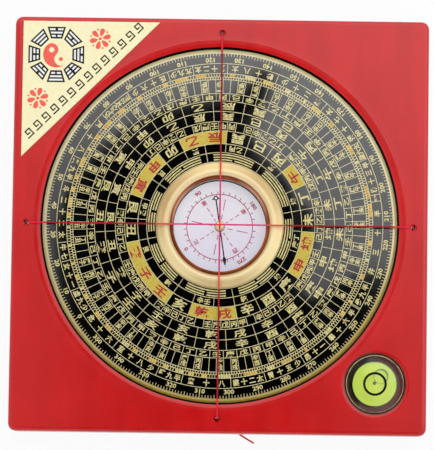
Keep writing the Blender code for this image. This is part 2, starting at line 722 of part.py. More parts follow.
def needle_jewel():
    """The hard stone in the cap, with the pit that sits on the post's tip."""
    jewel_r = CAP_BORE_R - SEAT_GAP
    profile = [
        (0, JEWEL_TOP),
        (jewel_r, JEWEL_TOP),
        (jewel_r, JEWEL_BOTTOM),
        (JEWEL_PIT_R, JEWEL_BOTTOM),
        (0, JEWEL_BOTTOM + JEWEL_PIT_DEPTH),
    ]
    jewel = turned("needle_jewel", profile, PIN_STEPS)
    return finished(jewel, new_material("agate", (0.45, 0.08, 0.06), 0.1), NEEDLE_AXIS)


def level_vial():
    """The clear vial of the round level, open below, its roof domed inside so that the bubble centres."""
    slope = math.degrees(math.asin(VIAL_BORE_R / DOME_R))
    roof = arc(0, DOME_CENTRE_Z, DOME_R, QUARTER_DEG - slope, QUARTER_DEG, DOME_STEPS)
    edge = arc(VIAL_R - VIAL_EDGE_R, VIAL_TOP - VIAL_EDGE_R, VIAL_EDGE_R, QUARTER_DEG, 0, FILLET_STEPS)
    profile = [(0, VIAL_TOP), *edge, (VIAL_R, VIAL_BOTTOM), (VIAL_BORE_R, VIAL_BOTTOM), *roof]
    return finished(turned("level_vial", profile, LEVEL_STEPS), CLEAR, LEVEL_AXIS)


def level_plug():
    profile = flat_disc(PLUG_R, VIAL_BOTTOM, PLUG_TOP)
    return finished(turned("level_plug", profile, LEVEL_STEPS), CLEAR, LEVEL_AXIS)


def level_backing():
    """The pale disc under the fluid that makes its colour show."""
    backing = turned("level_backing", flat_disc(PLUG_R, PLUG_TOP + SEAT_GAP, BACKING_TOP), LEVEL_STEPS)
    return finished(backing, new_material("white_backing", (0.85, 0.88, 0.75), 0.5), LEVEL_AXIS)


def level_fluid():
    profile = flat_disc(VIAL_BORE_R - FLUID_GAP, BACKING_TOP + SEAT_GAP, FLUID_TOP)
    fluid = turned("level_fluid", profile, FLUID_STEPS)
    return finished(fluid, new_material("lime_spirit", (0.6, 0.85, 0.08), 0.05, transmission=0.8), LEVEL_AXIS)


def level_bubble():
    """The flattened bubble, hung from the centre of the roof's dome so that it follows the roof."""
    bm = bmesh.new()
    bmesh.ops.create_uvsphere(bm, u_segments=PIN_STEPS, v_segments=PIN_STEPS // 2, radius=BUBBLE_R)
    bmesh.ops.scale(bm, vec=(1, 1, BUBBLE_HALF_HEIGHT / BUBBLE_R), verts=bm.verts)
    mesh = bpy.data.meshes.new("level_bubble")
    bm.to_mesh(mesh)
    bm.free()
    bubble = bpy.data.objects.new("level_bubble", mesh)
    bubble.location.z = BUBBLE_SWING_R
    PARTS.objects.link(bubble)
    return finished(bubble, CLEAR, BUBBLE_AXIS)


clear_scene()
PARTS = new_collection("feng_shui_compass")
CUTTERS = new_collection("cutters")

BRASS = new_material("brass", (0.78, 0.58, 0.28), 0.25, metallic=1.0)
CLEAR = new_material("clear", (0.95, 0.97, 0.95), 0.05, transmission=1.0)
FELT = new_material("felt", (0.05, 0.05, 0.05), 0.95)
THREAD_RED = new_material("red_thread", (0.75, 0.04, 0.1), 0.7)

THREAD_HOLES = {
    "north": (0, THREAD_HOLE_REACH),
    "east": (THREAD_HOLE_REACH, 0),
    "south": (0, -THREAD_HOLE_REACH),
    "west": (-THREAD_HOLE_REACH, 0),
}

DIAL_AXIS = new_empty("dial_axis", (0, 0, 0))
NEEDLE_AXIS = new_empty("needle_axis", (0, 0, 0), DIAL_AXIS, (0, 0, math.radians(NEEDLE_TURN_DEG)))
LEVEL_AXIS = new_empty("level_axis", (LEVEL_X, LEVEL_Y, 0))
BUBBLE_AXIS = new_empty(
    "bubble_axis",
    (0, 0, DOME_CENTRE_Z),
    LEVEL_AXIS,
    (0, math.asin(BUBBLE_OFFSET / BUBBLE_SWING_R), math.radians(BUBBLE_DIRECTION_DEG)),
)

base_plate()
corner_label()
sighting_thread("thread_north_south", "Y", THREAD_Z, THREAD_RED)
sighting_thread("thread_east_west", "X", CROSSING_Z, THREAD_RED)
finished(tube("thread_tail", smooth_route(TAIL_ROUTE, TAIL_POINTS_PER_SPAN), THREAD_R), THREAD_RED)
glide_ring()
dial_disc()
dial_face()
compass_cup()
compass_card()
compass_glass()
compass_retainer()
compass_bezel()
pivot_post()
needle()
needle_cap()
needle_jewel()
level_vial()
level_plug()
level_backing()
level_fluid()
level_bubble()
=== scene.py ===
"""Feng shui compass: the finishes, printed markings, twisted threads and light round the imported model.
Metres, +Z up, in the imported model's own frame."""

import functools
import math
import random

import bmesh
import bpy
import numpy as np
from mathutils import Matrix, Vector
from mathutils.geometry import interpolate_bezier, tessellate_polygon


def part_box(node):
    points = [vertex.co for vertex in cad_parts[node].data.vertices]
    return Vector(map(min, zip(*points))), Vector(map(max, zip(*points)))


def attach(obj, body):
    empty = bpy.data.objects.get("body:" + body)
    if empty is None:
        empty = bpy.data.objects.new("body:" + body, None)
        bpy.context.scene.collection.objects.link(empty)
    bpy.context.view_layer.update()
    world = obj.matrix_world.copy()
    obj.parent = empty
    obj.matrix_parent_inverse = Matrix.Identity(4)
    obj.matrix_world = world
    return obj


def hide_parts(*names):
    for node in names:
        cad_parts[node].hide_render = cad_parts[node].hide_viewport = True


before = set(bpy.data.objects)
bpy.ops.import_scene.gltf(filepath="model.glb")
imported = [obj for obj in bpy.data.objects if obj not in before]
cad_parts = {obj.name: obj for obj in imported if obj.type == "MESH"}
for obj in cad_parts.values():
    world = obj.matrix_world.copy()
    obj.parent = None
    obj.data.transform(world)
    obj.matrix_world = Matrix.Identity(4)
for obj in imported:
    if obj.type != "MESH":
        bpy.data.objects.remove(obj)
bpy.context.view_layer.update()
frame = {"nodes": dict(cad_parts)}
scene = bpy.context.scene
MM = 0.001

# Camera
CAMERA_AIM = Vector((-0.73 * MM, -0.05 * MM, 12 * MM))
CAMERA_DISTANCE = 0.8
CAMERA_TILT_DEG = 5.03
CAMERA_ROLL_DEG = 0.81
CAMERA_LENS_MM = 242.3
CAMERA_SENSOR_MM = 36
CAMERA_CLIP = 0.02

# Light and surroundings
SOFTBOX_HEIGHT = 0.7
SOFTBOX_R = 0.75
SOFTBOX_MIDDLE = 0.5  # strength, with its rise per metre along X and Y
SOFTBOX_RISE_X = 2.7
SOFTBOX_RISE_Y = 7.3
SOFTBOX_RANGE = (0.73, 2.07)
# The unlit opening for the camera and its stand, in millimetres on the softbox
OPENING = (
    (-8, 124), (-21, 121), (-32, 117), (-47, 108), (-62, 97), (-74, 81), (-80, 61), (-80, 39),
    (-76, 16), (-70, -14), (-72, -70), (-110, -480), (110, -480), (66, -70), (71, -14), (81, 14),
    (86, 38), (75, 39), (66, 36), (58, 33), (53, 28), (45, 25), (41, 29), (43, 38),
    (47, 51), (49, 61), (45, 70), (38, 74), (35, 81), (29, 89), (23, 94), (17, 102),
    (17, 109), (21, 117), (25, 126), (27, 137), (19, 139), (12, 130), (6, 125),
)
SHROUD_GAP = 0.004
FILL_STRENGTH = 0.84
FLOOR_R = 0.9
BACKDROP_R = 3.0
BACKDROP_HEIGHT = 2.5
BACKDROP_ROWS = 12
STAGE_STEPS = 64
FLOOR_GLOW_NEAR = 0.93  # share of full white near the object, which grows over the reach
FLOOR_GLOW_REACH = (0.07, 0.5)

SMOOTH_BELOW_DEG = 32
LATHE_SMOOTH_BELOW_DEG = 35
SECTOR_STEP_DEG = 1.5
RING_STEPS = 240

# Where most of a noise's values lie, and nearly all of them
NOISE_MIDDLE = (0.35, 0.65)
NOISE_WHOLE = (0.3, 0.7)
# The Mix node's sockets for colours
MIX_FIRST, MIX_SECOND, MIX_RESULT = 6, 7, 2

# The dial's markings, as radii in millimetres, and its turn in the photograph
DIAL_ZERO_DEG = 236.1  # clockwise from +Y, seen from above
MOUNTAIN_DEG = 15
LINE_RADII = (19.35, 21.7, 25.15, 27.6, 30.35, 33.15, 35.15, 38.85, 39.55, 40.5, 43.15)
LINE_WIDTH = 0.17
DIVIDER_WIDTH = 0.15
TRIGRAM_RADII = (17.45, 18.12, 18.8)
TRIGRAM_DIVIDER_START = TRIGRAM_RADII[0] - 0.4
TRIGRAM_BAR = 0.34
TRIGRAM_HALF_SPAN_DEG = 17
TRIGRAM_HALF_GAP_DEG = 1.05
FOOT_LINE_R = 16.84
FOOT_LINE_WIDTH = 0.24
RIM_INNER_R = 45.8
RIM_DROP = 0.3 * MM
TICK_WIDTH = 0.16
TICK_LENGTHS = (0.7, 0.9, 1.1)  # each degree, each fifth and each tenth
NUMBER_R = 44.1
DEGREE_NUMBERS = {"height": 1.6, "bold": 0.03, "wide": 1.15, "centre_y": 0.345}
SIGN_CENTRE_Y = 0.38
INK_BELOW = 0.01 * MM
INK_ABOVE = 0.03 * MM
THIN_INK = 0.02 * MM
# Each divided row with its number of cells and its first divider's angle
DIVIDED_ROWS = (
    (0, 24, 7.5), (1, 24, 7.5), (2, 72, 2.5), (3, 24, 0), (4, 24, 0), (5, 60, 337.5), (6, 120, 1.5)
)
MOUNTAIN_SIGNS = {"height": 2.8, "bold": 0.028, "wide": 1.3}
SPRING_SIGNS = {"height": 1.6, "bold": 0.03, "wide": 1.1}
SPRING_PITCH_DEG = 5.2
# Rows that repeat the mountains half a cell aside, with the width of their signs
SHIFTED_ROWS = ((3, -7.5, 1.55), (4, 7.5, 1.7))
SHIFTED_SIGNS = {"height": 2.1, "bold": 0.025}
STEM_SIGNS = {"height": 1.75, "bold": 0.03, "wide": 1.1}
OUTER_STEM_SIGNS = {"height": 1.5, "bold": 0.03, "wide": 1.55}
OUTER_STEM_START_DEG = 340.5
PAIR_SIGNS = {"height": 1.5, "bold": 0.035}
PAIR_HALF_DEG = 3
PAIR_STEM_INSET = 1.05
PAIR_BRANCH_INSET = 1.15
MANSION_SIGNS = {"bold": 0.034, "wide": 0.95}
MANSION_HEIGHT = 1.8  # or this share of the room for a sign
MANSION_HEIGHT_SHARE = 0.8
MANSION_PITCH_SHARE = 0.94
# The two fine rows, in degrees: half a dash, half a stroke, and how far a filled cell reaches
DASH_HALF_DEG = 0.15
STROKE_HALF_DEG = 0.12
FILLED_DEG = 0.76
BARE_RUNS = (1, 2, 2, 3, 3, 4, 5, 8)
FILLED_RUNS = (1, 2, 2, 3, 4, 5)
ORANGE_SHARE = 0.8
RUNS_SEED = 7

STEMS = "甲乙丙丁戊己庚辛壬癸"
BRANCHES = "子丑寅卯辰巳午未申酉戌亥"
MOUNTAINS = "子癸丑艮寅甲卯乙辰巽巳丙午丁未坤申庚酉辛戌乾亥壬"
STEM_PAIRS = ("丙庚", "丁辛")
BANDS = ("壬子癸", "寅甲", "乙辰", "午", "坤申", "戌乾")  # printed red on gold
TRIGRAMS = ("000", "001", "101", "011", "111", "110", "010", "100")  # bars from the inside out, 1 is whole
SPRINGS = {
    "壬": "乾", "癸": "艮", "艮": "甲癸", "甲": "艮", "乙": "巽", "巽": "乙丙", "丙": "巽", "丁": "坤", "坤": "庚丁",
    "庚": "坤", "辛": "乾", "乾": "辛壬",
}
MANSIONS = (
    ("虛九少", 9.25), ("女十一", 11), ("牛七", 7), ("斗二十二太", 22.75), ("箕九半", 9.5), ("尾十八", 18), ("心六少", 6.25),
    ("房五太", 5.75), ("氐十六少", 16.25), ("亢九少", 9.25), ("角十二太", 12.75), ("軫十八太", 18.75), ("翼二十少", 20.25),
    ("張十七太", 17.75), ("星六太", 6.75), ("柳十三半", 13.5), ("鬼二半", 2.5), ("井三十半", 30.5), ("參九半", 9.5),
    ("觜半", 0.5), ("畢十六半", 16.5), ("昴十一", 11), ("胃十五少", 15.25), ("婁十二太", 12.75), ("奎十八", 18),
    ("壁九半", 9.5), ("室十八少", 18.25), ("危十六", 16),
)

# The compass card's markings, in millimetres
CARD_CIRCLE_R = 8.76
CARD_LINE = 0.2
CARD_TICK = 0.85
CARD_NUMBER_R = 10.65
CARD_NUMBERS = {"height": 1.45, "bold": 0.03, "wide": 1.15, "centre_y": 0.345}
CARD_SIGN_R = 7.55
CARD_SIGNS = {"height": 1.5, "bold": 0.02}
CARD_DASHES = ((1.9, 2.7), (3.3, 4.2), (4.9, 6.2))
CARD_LONG_DASHES = ((2.1, 3.5), (4.6, 7.6))

# The corner label's markings, in millimetres on the plate
LABEL_OCTAGON = (-44.0, 44.75)
TRIGRAM_OUTER = 7.4
TRIGRAM_INNER = 4.25
TRIGRAM_OUTER_HALF = 2.45
TRIGRAM_INNER_HALF = 1.5
LABEL_TRIGRAMS = ("010", "101", "011", "000", "110", "010", "100", "111")
TRIGRAM_MARGIN = 0.43
TRIGRAM_BAR_PITCH = 0.9
TRIGRAM_BAR_HEIGHT = 0.5
TRIGRAM_BAR_INSET = 0.4
TRIGRAM_GAP_SHARE = 0.18
YIN_YANG_R = 3.5
YIN_YANG_AXIS_DEG = 135
YIN_YANG_EYES = (0.7, 0.53)
ROSETTES = ((-32.4, 49.1), (-48.7, 33.0))
ROSETTE_HEART_R = 0.42
PETALS = 6
PETAL_R = 1.75  # out to a petal's middle
PETAL_HALF_LENGTH = 1.1
PETAL_HALF_WIDTH = 0.62
PETAL_BROADENING = 0.35
BUD_R = 2.55
BUD_SIZE = 0.26
FRET_START = (-50.9, 23.6)
FRET_END = (-22.4, 52.1)
FRET_COUNT = 14
FRET_KEY = ((-1, -1), (1, -1), (1, 1), (-0.45, 1), (-0.45, -0.1), (0.35, -0.1))
FRET_SCALE = 0.95
FRET_LINE = 0.34
FRET_CORNER = 0.13
LABEL_INK = 0.015 * MM
LABEL_TOP_INK = 0.01 * MM

# The round level's markings, in millimetres
LEVEL_CIRCLE_R = 3.13
LEVEL_CIRCLE_LINE = 0.62
LEVEL_DOT_R = 0.5
LEVEL_DOT_SHIFT = 0.28
BUBBLE_LINE = 0.17
BUBBLE_LINE_INSET = 0.1
BUBBLE_LINE_HALF_DEG = 150
BUBBLE_LINE_STEPS = 24  # from its thickest place to each end
BUBBLE_LINE_TAPER = (0.6, 1.2)  # a share of the turn and a power, which thin it towards its ends
BUBBLE_LINE_LEAST = 0.01
HIGHLIGHT_EDGE_DEG = (75, 30)  # the part of the vial's rounded edge that carries a painted highlight

# Threads
THREAD_R = 0.25 * MM
KNOT_R = 0.75 * MM
KNOT_STEPS = 60
KNOT_SIDES = 8
KNOT_DEPTH = 1.6
KNOT_THREAD_SHARE = 0.95
THREAD_BEND_R = 1.0 * MM
UNDER_THREAD = (  # out to each radius from the middle
    (RIM_INNER_R * MM, (0.38, 0.014, 0.022)),
    (17.0 * MM, (0.86, 0.1, 0.07)),
    (12.4 * MM, (0.78, 0.06, 0.25)),
    (1.2 * MM, (0.98, 0.05, 0.09)),
)
STRANDS = 3
STRAND_R = 0.135 * MM
STRAND_OFFSET = 0.115 * MM
TWIST_PITCH = 1.8 * MM
TWIST_STEPS = 9
STRAND_SIDES = 6
TUBE_ASIDE = (0.31, 0.22, 0.93)  # directions off the threads' own, which set how their sections are turned
TWIST_ASIDE = (0.93, 0.31, 0.22)
TAIL_ROUTE = (
    (0.00098, -0.05181, 0.00048),
    (0.00250, -0.05275, 0.00046),
    (0.00450, -0.05399, 0.00042),
    (0.00660, -0.05529, 0.00034),
    (0.00830, -0.05632, 0.00029),
    (0.00990, -0.05722, 0.00027),
)

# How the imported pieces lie
MASK_EDGE = 0.02 * MM
PAINTED_SHADE_ABOVE = 1.0 * MM  # painted shade in the recess and round the level's bore starts at this height; the plate's underside is lacquered
RECESS_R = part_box("dial_face")[1].x + 0.53 * MM
POOL_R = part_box("compass_card")[1].x + 0.25 * MM
VIAL_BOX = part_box("level_vial")
VIAL_AXIS = ((VIAL_BOX[0].x + VIAL_BOX[1].x) / 2, (VIAL_BOX[0].y + VIAL_BOX[1].y) / 2)
VIAL_R = (VIAL_BOX[1].x - VIAL_BOX[0].x) / 2
VIAL_TOP = VIAL_BOX[1].z
VIAL_EDGE_R = 0.4 * MM
LEVEL_BORE_R = VIAL_R + 0.33 * MM
LEVEL_SHADE_R = LEVEL_BORE_R + 0.5 * MM
LIP_R = RECESS_R + 3.3 * MM
CARD_R = POOL_R - 0.4 * MM
CREST_R = 14.3 * MM
GROOVE_SHADE_R = 12.95 * MM
FLUID_R = (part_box("level_fluid")[1].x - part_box("level_fluid")[0].x) / 2
DIAL_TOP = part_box("dial_face")[1].z
RISE_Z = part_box("thread_north_south")[1].z - THREAD_R  # both threads come up through the plate to here


# Materials


class Finish:
    """A material under construction: one Principled shader, and helpers that add nodes to it."""

    def __init__(self, name, colour, roughness, metallic=0.0, **sockets):
        self.material = bpy.data.materials.new(name)
        self.material.use_nodes = True
        self.material.diffuse_color = (*colour, 1)
        self.tree = self.material.node_tree
        self.shader = self.tree.nodes["Principled BSDF"]
        self.surface = self.tree.nodes["Material Output"].inputs["Surface"]
        sockets.update(Base_Color=(*colour, 1), Roughness=roughness, Metallic=metallic)
        for socket, value in sockets.items():
            self.feed(self.shader.inputs[socket.replace("_", " ")], value)

    def feed(self, target, value):
        """Links an output to an input, or sets the input to a plain value."""
        if isinstance(value, bpy.types.NodeSocket):
            self.tree.links.new(value, target)
        else:
            target.default_value = value

    def node(self, kind, output, inputs=(), **settings):
        """One output of a new node. Inputs are pairs of a socket and what it is fed with."""
        made = self.tree.nodes.new(kind)
        for key, value in settings.items():
            setattr(made, key, value)
        for socket, value in dict(inputs).items():
            self.feed(made.inputs[socket], value)
        return made.outputs[output]

    def calc(self, operation, *values):
        return self.node("ShaderNodeMath", "Value", enumerate(values), operation=operation)

    def fold(self, operation, values):
        return functools.reduce(functools.partial(self.calc, operation), values)

    def vector(self, operation, *values, output="Vector"):
        return self.node("ShaderNodeVectorMath", output, enumerate(values), operation=operation)

    def place(self):
        return self.node("ShaderNodeTexCoord", "Object")

    def coordinate(self, vector, axis):
        return self.node("ShaderNodeSeparateXYZ", axis, {"Vector": vector})

    def noise(self, size, detail, stretch=(1, 1, 1), source=None):
        """Noise whose largest blots are about size metres across."""
        inputs = {"Vector": source or self.place(), "Scale": stretch}
        mapped = self.node("ShaderNodeMapping", "Vector", inputs)
        inputs = {"Vector": mapped, "Scale": 1 / size, "Detail": detail}
        return self.node("ShaderNodeTexNoise", "Fac", inputs)

    def spread(self, value, low, high, new_low=0.0, new_high=1.0, kind="LINEAR"):
        """Value rescaled from low..high and clamped."""
        ends = {"From Min": low, "From Max": high, "To Min": new_low, "To Max": new_high}
        return self.node("ShaderNodeMapRange", "Result", {"Value": value, **ends}, interpolation_type=kind)

    def blend(self, factor, first, second):
        inputs = {"Factor": factor, MIX_FIRST: first, MIX_SECOND: (*second, 1)}
        result = self.node("ShaderNodeMix", MIX_RESULT, inputs, data_type="RGBA")
        self.feed(self.shader.inputs["Base Color"], result)

    def tint(self, factor, first, second):
        """Base colour from first to second as factor goes from 0 to 1."""
        self.blend(factor, (*first, 1), second)

    def mottle(self, size, detail, first, second):
        """Base colour in blots of two colours, the largest about size metres across."""
        self.tint(self.spread(self.noise(size, detail), *NOISE_MIDDLE), first, second)

    def shade(self, colour, *masks):
        """Turns the base colour into another one where every mask is 1."""
        before = self.shader.inputs["Base Color"].links[0].from_socket
        self.blend(self.fold("MULTIPLY", masks), before, colour)

    def rough(self, factor, low, high):
        self.feed(self.shader.inputs["Roughness"], self.spread(factor, *NOISE_WHOLE, low, high))

    def bump(self, height, depth, strength=1.0):
        """Relief of the given depth in metres, on top of the relief made before it."""
        normal = self.shader.inputs["Normal"]
        inputs = {"Height": height, "Distance": depth, "Strength": strength}
        if normal.is_linked:
            inputs["Normal"] = normal.links[0].from_socket
        self.feed(normal, self.node("ShaderNodeBump", "Normal", inputs))

    def from_axis(self, axis):
        """The offset from an upright axis, without its height."""
        return self.vector("MULTIPLY", self.vector("SUBTRACT", self.place(), (*axis, 0)), (1, 1, 0))

    def radius(self, axis=(0, 0)):
        return self.vector("LENGTH", self.from_axis(axis), output="Value")

    def height(self):
        return self.coordinate(self.place(), "Z")

    def direction(self, axis=(0, 0)):
        """Coordinates that vary only with the turn round an upright axis, on a circle of radius one."""
        return self.vector("NORMALIZE", self.from_axis(axis))

    def dot(self, place, towards):
        return self.vector("DOT_PRODUCT", place, (*towards, 0), output="Value")

    def side(self, towards, axis=(0, 0)):
        """1 on this side of an upright axis, -1 on the other."""
        return self.dot(self.direction(axis), towards)

    def sectors(self, count, phase):
        """A wave with this many crests round the Z axis, from -1 to 1."""
        direction = self.direction()
        turn = self.calc("ARCTAN2", self.coordinate(direction, "X"), self.coordinate(direction, "Y"))
        return self.calc("COSINE", self.calc("MULTIPLY_ADD", turn, count, phase))

    def lathe_marks(self, size, detail):
        """Noise that varies only with the distance from the Z axis and the height."""
        inputs = {"X": self.radius(), "Z": self.height()}
        return self.noise(size, detail, source=self.node("ShaderNodeCombineXYZ", "Vector", inputs))

    def fade(self, start, end, top=1.0, axis=(0, 0), kind="LINEAR"):
        """Falls from top to 0 between two distances from an upright axis."""
        return self.spread(self.radius(axis), start, end, top, 0.0, kind)

    def inside(self, limit, axis=(0, 0)):
        return self.fade(limit, limit + MASK_EDGE, axis=axis)

    def above(self, height):
        return self.spread(self.height(), height, height + MASK_EDGE)

    def rays(self, *kinds):
        """1 for rays of these kinds, which are named as on the Light Path node."""
        return self.fold("MAXIMUM", [self.node("ShaderNodeLightPath", kind) for kind in kinds])

    def show(self, factor, other):
        """The other shader shows where factor is 1."""
        inputs = {"Fac": factor, 1: self.shader.outputs["BSDF"], 2: other}
        self.feed(self.surface, self.node("ShaderNodeMixShader", "Shader", inputs))


def red_lacquer():
    """The plate's paint, with painted shade: nearly black in the recess and a dark edge round the level's
    bore.
    """
    made = Finish("red_lacquer", (0.6, 0.004, 0.005), 0.18)
    blots = made.noise(14 * MM, 4)
    streaks = made.noise(5 * MM, 5, (1.0, 0.12, 1.0))
    factor = made.spread(made.calc("MULTIPLY", blots, streaks), 0.14, 0.36)
    made.tint(factor, (0.56, 0.003, 0.004), (0.64, 0.005, 0.006))
    above = made.above(PAINTED_SHADE_ABOVE)
    # Painted shade: the recess round the dial is painted nearly black, for the shade that falls in it.
    made.shade((0.03, 0.005, 0.004), made.inside(RECESS_R), above)
    # Painted shade: a dark ring in the gap round the vial, fading out on the bore's lip.
    edge = made.fade(LEVEL_BORE_R, LEVEL_SHADE_R, 0.9, VIAL_AXIS)
    bore = made.spread(made.radius(VIAL_AXIS), VIAL_R - MASK_EDGE, VIAL_R)
    made.shade((0.07, 0.008, 0.005), edge, bore, above)
    # Painted tone: the bore's floor under the vial is painted olive-grey on its left side, standing in for
    # how it looks through the vial's wall.
    left = made.spread(made.side((-0.95, 0.3), VIAL_AXIS), -0.1, 0.6)
    made.shade((0.17, 0.13, 0.06), made.inside(VIAL_R - MASK_EDGE, VIAL_AXIS), left, above)
    made.rough(made.noise(4 * MM, 4), 0.16, 0.22)
    made.bump(made.noise(2 * MM, 3), 0.01 * MM, 0.5)
    made.bump(made.fade(RECESS_R, LIP_R, kind="SMOOTHSTEP"), 0.13 * MM)
    return made


def black_enamel():
    made = Finish("black_enamel", (0.0012, 0.0012, 0.0014), 0.04, Specular_IOR_Level=1.0, IOR=1.6)
    made.rough(made.noise(6 * MM, 5), 0.03, 0.06)
    return made


def gold_print(name, first, second):
    """Gold ink under the dial's clear lacquer."""
    made = Finish(name, second, 0.42, 0.3, Coat_Weight=1.0, Coat_Roughness=0.05, Coat_IOR=1.6)
    made.mottle(0.9 * MM, 4, first, second)
    made.rough(made.noise(0.7 * MM, 3), 0.34, 0.5)
    return made


def gold_band():
    made = Finish("gold_band", (0.6, 0.46, 0.06), 0.42, 0.25)
    made.mottle(0.5 * MM, 5, (0.55, 0.41, 0.045), (0.66, 0.52, 0.08))
    made.rough(made.noise(0.7 * MM, 3), 0.34, 0.5)
    return made


def orange_cells():
    made = Finish("orange_gold", (0.68, 0.45, 0.1), 0.42, 0.3)
    made.mottle(1.4 * MM, 3, (0.63, 0.35, 0.05), (0.76, 0.57, 0.15))
    return made


def rim_brass():
    made = Finish("rim_brass", (0.51, 0.35, 0.02), 0.15, 0.1, Specular_IOR_Level=1.0, IOR=1.9)
    made.tint(made.spread(made.noise(1.5 * MM, 4), *NOISE_WHOLE), (0.48, 0.32, 0.012), (0.58, 0.41, 0.025))
    # Painted light: the rim is painted paler on its far side.
    far = made.spread(made.side((-0.2, 0.98)), -0.7, 0.3)
    made.shade((0.95, 0.85, 0.44), far)
    # Painted shade: the rim's inner band is painted darker, which dulls its reflection, and less dark on
    # the far side.
    inner = made.fade((RIM_INNER_R + 0.2) * MM, (RIM_INNER_R + 0.5) * MM, 0.75)
    made.shade((0.44, 0.3, 0.03), inner)
    made.shade((0.55, 0.49, 0.25), inner, far)
    made.bump(made.lathe_marks(0.5 * MM, 2), 0.005 * MM, 0.3)
    return made


def bezel_brass():
    """Turned brass with fine lathe marks, and painted light: bright and dull sectors of painted sheen, a
    painted highlight along the crest, and painted light and shade by side.
    """
    made = Finish("bezel_brass", (0.72, 0.55, 0.27), 0.46, 0.4)
    marks = made.lathe_marks(0.16 * MM, 3)
    # Painted sheen: three bright and three dull sectors round the ring.
    sheen = made.spread(made.sectors(3, math.radians(21)), -1, 1, 0.21, 0.81)
    # Painted light: lighter towards the near right side.
    slant = made.spread(made.side((0.51, -0.86)), -1, 1, -0.21, 0.21)
    # Painted sheen, uneven round the ring.
    uneven = made.spread(made.noise(0.5, 2, source=made.direction()), *NOISE_MIDDLE, -0.06, 0.08)
    fine = made.spread(marks, *NOISE_MIDDLE, -0.05, 0.09)
    made.tint(made.fold("ADD", (sheen, slant, uneven, fine)), (0.52, 0.335, 0.13), (1.0, 0.82, 0.43))
    # Painted highlight along the crest.
    rise = made.spread(made.radius(), CREST_R - 0.9 * MM, CREST_R - 0.3 * MM, 0.0, 0.7)
    fall = made.fade(CREST_R + 0.1 * MM, CREST_R + 0.9 * MM, kind="SMOOTHSTEP")
    made.shade((0.96, 0.8, 0.46), rise, fall)
    # Painted light and shade on the inner slope: lighter on the far side, darker on the near side.
    slope = made.fade(CREST_R - 0.7 * MM, CREST_R - 0.3 * MM)
    made.shade((1.0, 0.78, 0.46), slope, made.spread(made.side((0, 1)), -0.5, 0.7))
    made.shade((0.6, 0.42, 0.21), slope, made.spread(made.side((0, 1)), -0.5, 0.7, 1.0, 0.0))
    made.rough(marks, 0.42, 0.52)
    made.bump(marks, 0.006 * MM, 0.35)
    return made


def plain_brass():
    made = Finish("plain_brass", (0.83, 0.62, 0.3), 0.2, 1.0)
    made.rough(made.noise(1 * MM, 3), 0.14, 0.28)
    return made


def cap_brass():
    """Pale brass, soft enough to keep its own colour among dark reflections."""
    made = Finish("cap_brass", (0.95, 0.84, 0.5), 0.3, 0.4)
    made.mottle(0.5 * MM, 3, (0.9, 0.78, 0.42), (0.98, 0.88, 0.56))
    made.rough(made.noise(1 * MM, 3), 0.26, 0.36)
    return made


def blackened_brass():
    """The cup's brass, with painted shade: inside, where it surrounds the card, it is painted nearly black
    for the shade that falls there.
    """
    made = Finish("blackened_brass", (0.83, 0.62, 0.3), 0.2, 1.0)
    made.mottle(1 * MM, 3, (0.78, 0.57, 0.26), (0.87, 0.67, 0.34))
    above = made.above(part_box("compass_card")[0].z - 0.3 * MM)
    # Painted shade on the cup's inner wall.
    made.shade((0.035, 0.025, 0.02), made.inside(POOL_R), above)
    made.rough(made.noise(1 * MM, 3), 0.2, 0.34)
    return made


def copper():
    made = Finish("copper", (0.28, 0.08, 0.03), 0.3, 1.0)
    turning = made.lathe_marks(0.09 * MM, 2)
    streaks = made.calc("ADD", turning, made.noise(0.7, 3, source=made.direction()))
    made.tint(made.spread(streaks, 0.75, 1.2), (0.1, 0.013, 0.003), (0.42, 0.12, 0.04))
    # Painted highlights on two sectors of the ring, towards its far right and its far left.
    for towards in ((0.77, 0.64), (-0.87, 0.5)):
        made.shade((0.85, 0.42, 0.24), made.spread(made.side(towards), 0.86, 1.0, 0.0, 0.7))
    # Painted shade: a dark line round the ring, as a groove would have.
    into = made.spread(made.radius(), GROOVE_SHADE_R - 0.3 * MM, GROOVE_SHADE_R, 0.0, 0.75)
    back = made.fade(GROOVE_SHADE_R, GROOVE_SHADE_R + 0.3 * MM)
    made.shade((0.09, 0.012, 0.003), into, back)
    made.rough(turning, 0.2, 0.4)
    made.bump(turning, 0.02 * MM, 0.7)
    return made


def card_paper():
    """Brightened paper with painted light and shade: it glows a little, and is painted greyer in its middle
    and at its near side, which evens out how it is lit in the cup.
    """
    # The glow is painted light.
    glow = {"Emission_Color": (0.96, 0.93, 1.0, 1), "Emission_Strength": 0.43}
    made = Finish("card_paper", (0.92, 0.91, 0.97), 0.6, **glow)
    made.mottle(0.35 * MM, 5, (0.9, 0.89, 0.94), (0.96, 0.95, 1.0))
    # Painted shade: greyer in the middle.
    made.shade((0.64, 0.6, 0.65), made.fade(7.5 * MM, 10.5 * MM, kind="SMOOTHSTEP"))
    # Painted shade: greyer towards the near side.
    near = made.spread(made.dot(made.place(), (0.2, -0.98)), -CARD_R, CARD_R)
    made.shade((0.45, 0.43, 0.57), near)
    made.bump(made.noise(0.1 * MM, 2), 0.004 * MM, 0.4)
    return made


def label_paper():
    made = Finish("label_paper", (0.98, 0.92, 0.57), 0.5, Coat_Weight=0.15, Coat_Roughness=0.3)
    made.mottle(1.2 * MM, 5, (0.98, 0.89, 0.52), (1.0, 0.94, 0.61))
    made.bump(made.noise(0.25 * MM, 2), 0.004 * MM, 0.4)
    return made


def ink(name, first, second, **sockets):
    """Printing ink, a little uneven where it took. The level's dot and the bubble's painted shade are made
    with it too.
    """
    made = Finish(name, first, 0.5, **sockets)
    made.mottle(0.4 * MM, 4, first, second)
    made.rough(made.noise(0.4 * MM, 2), 0.42, 0.6)
    return made


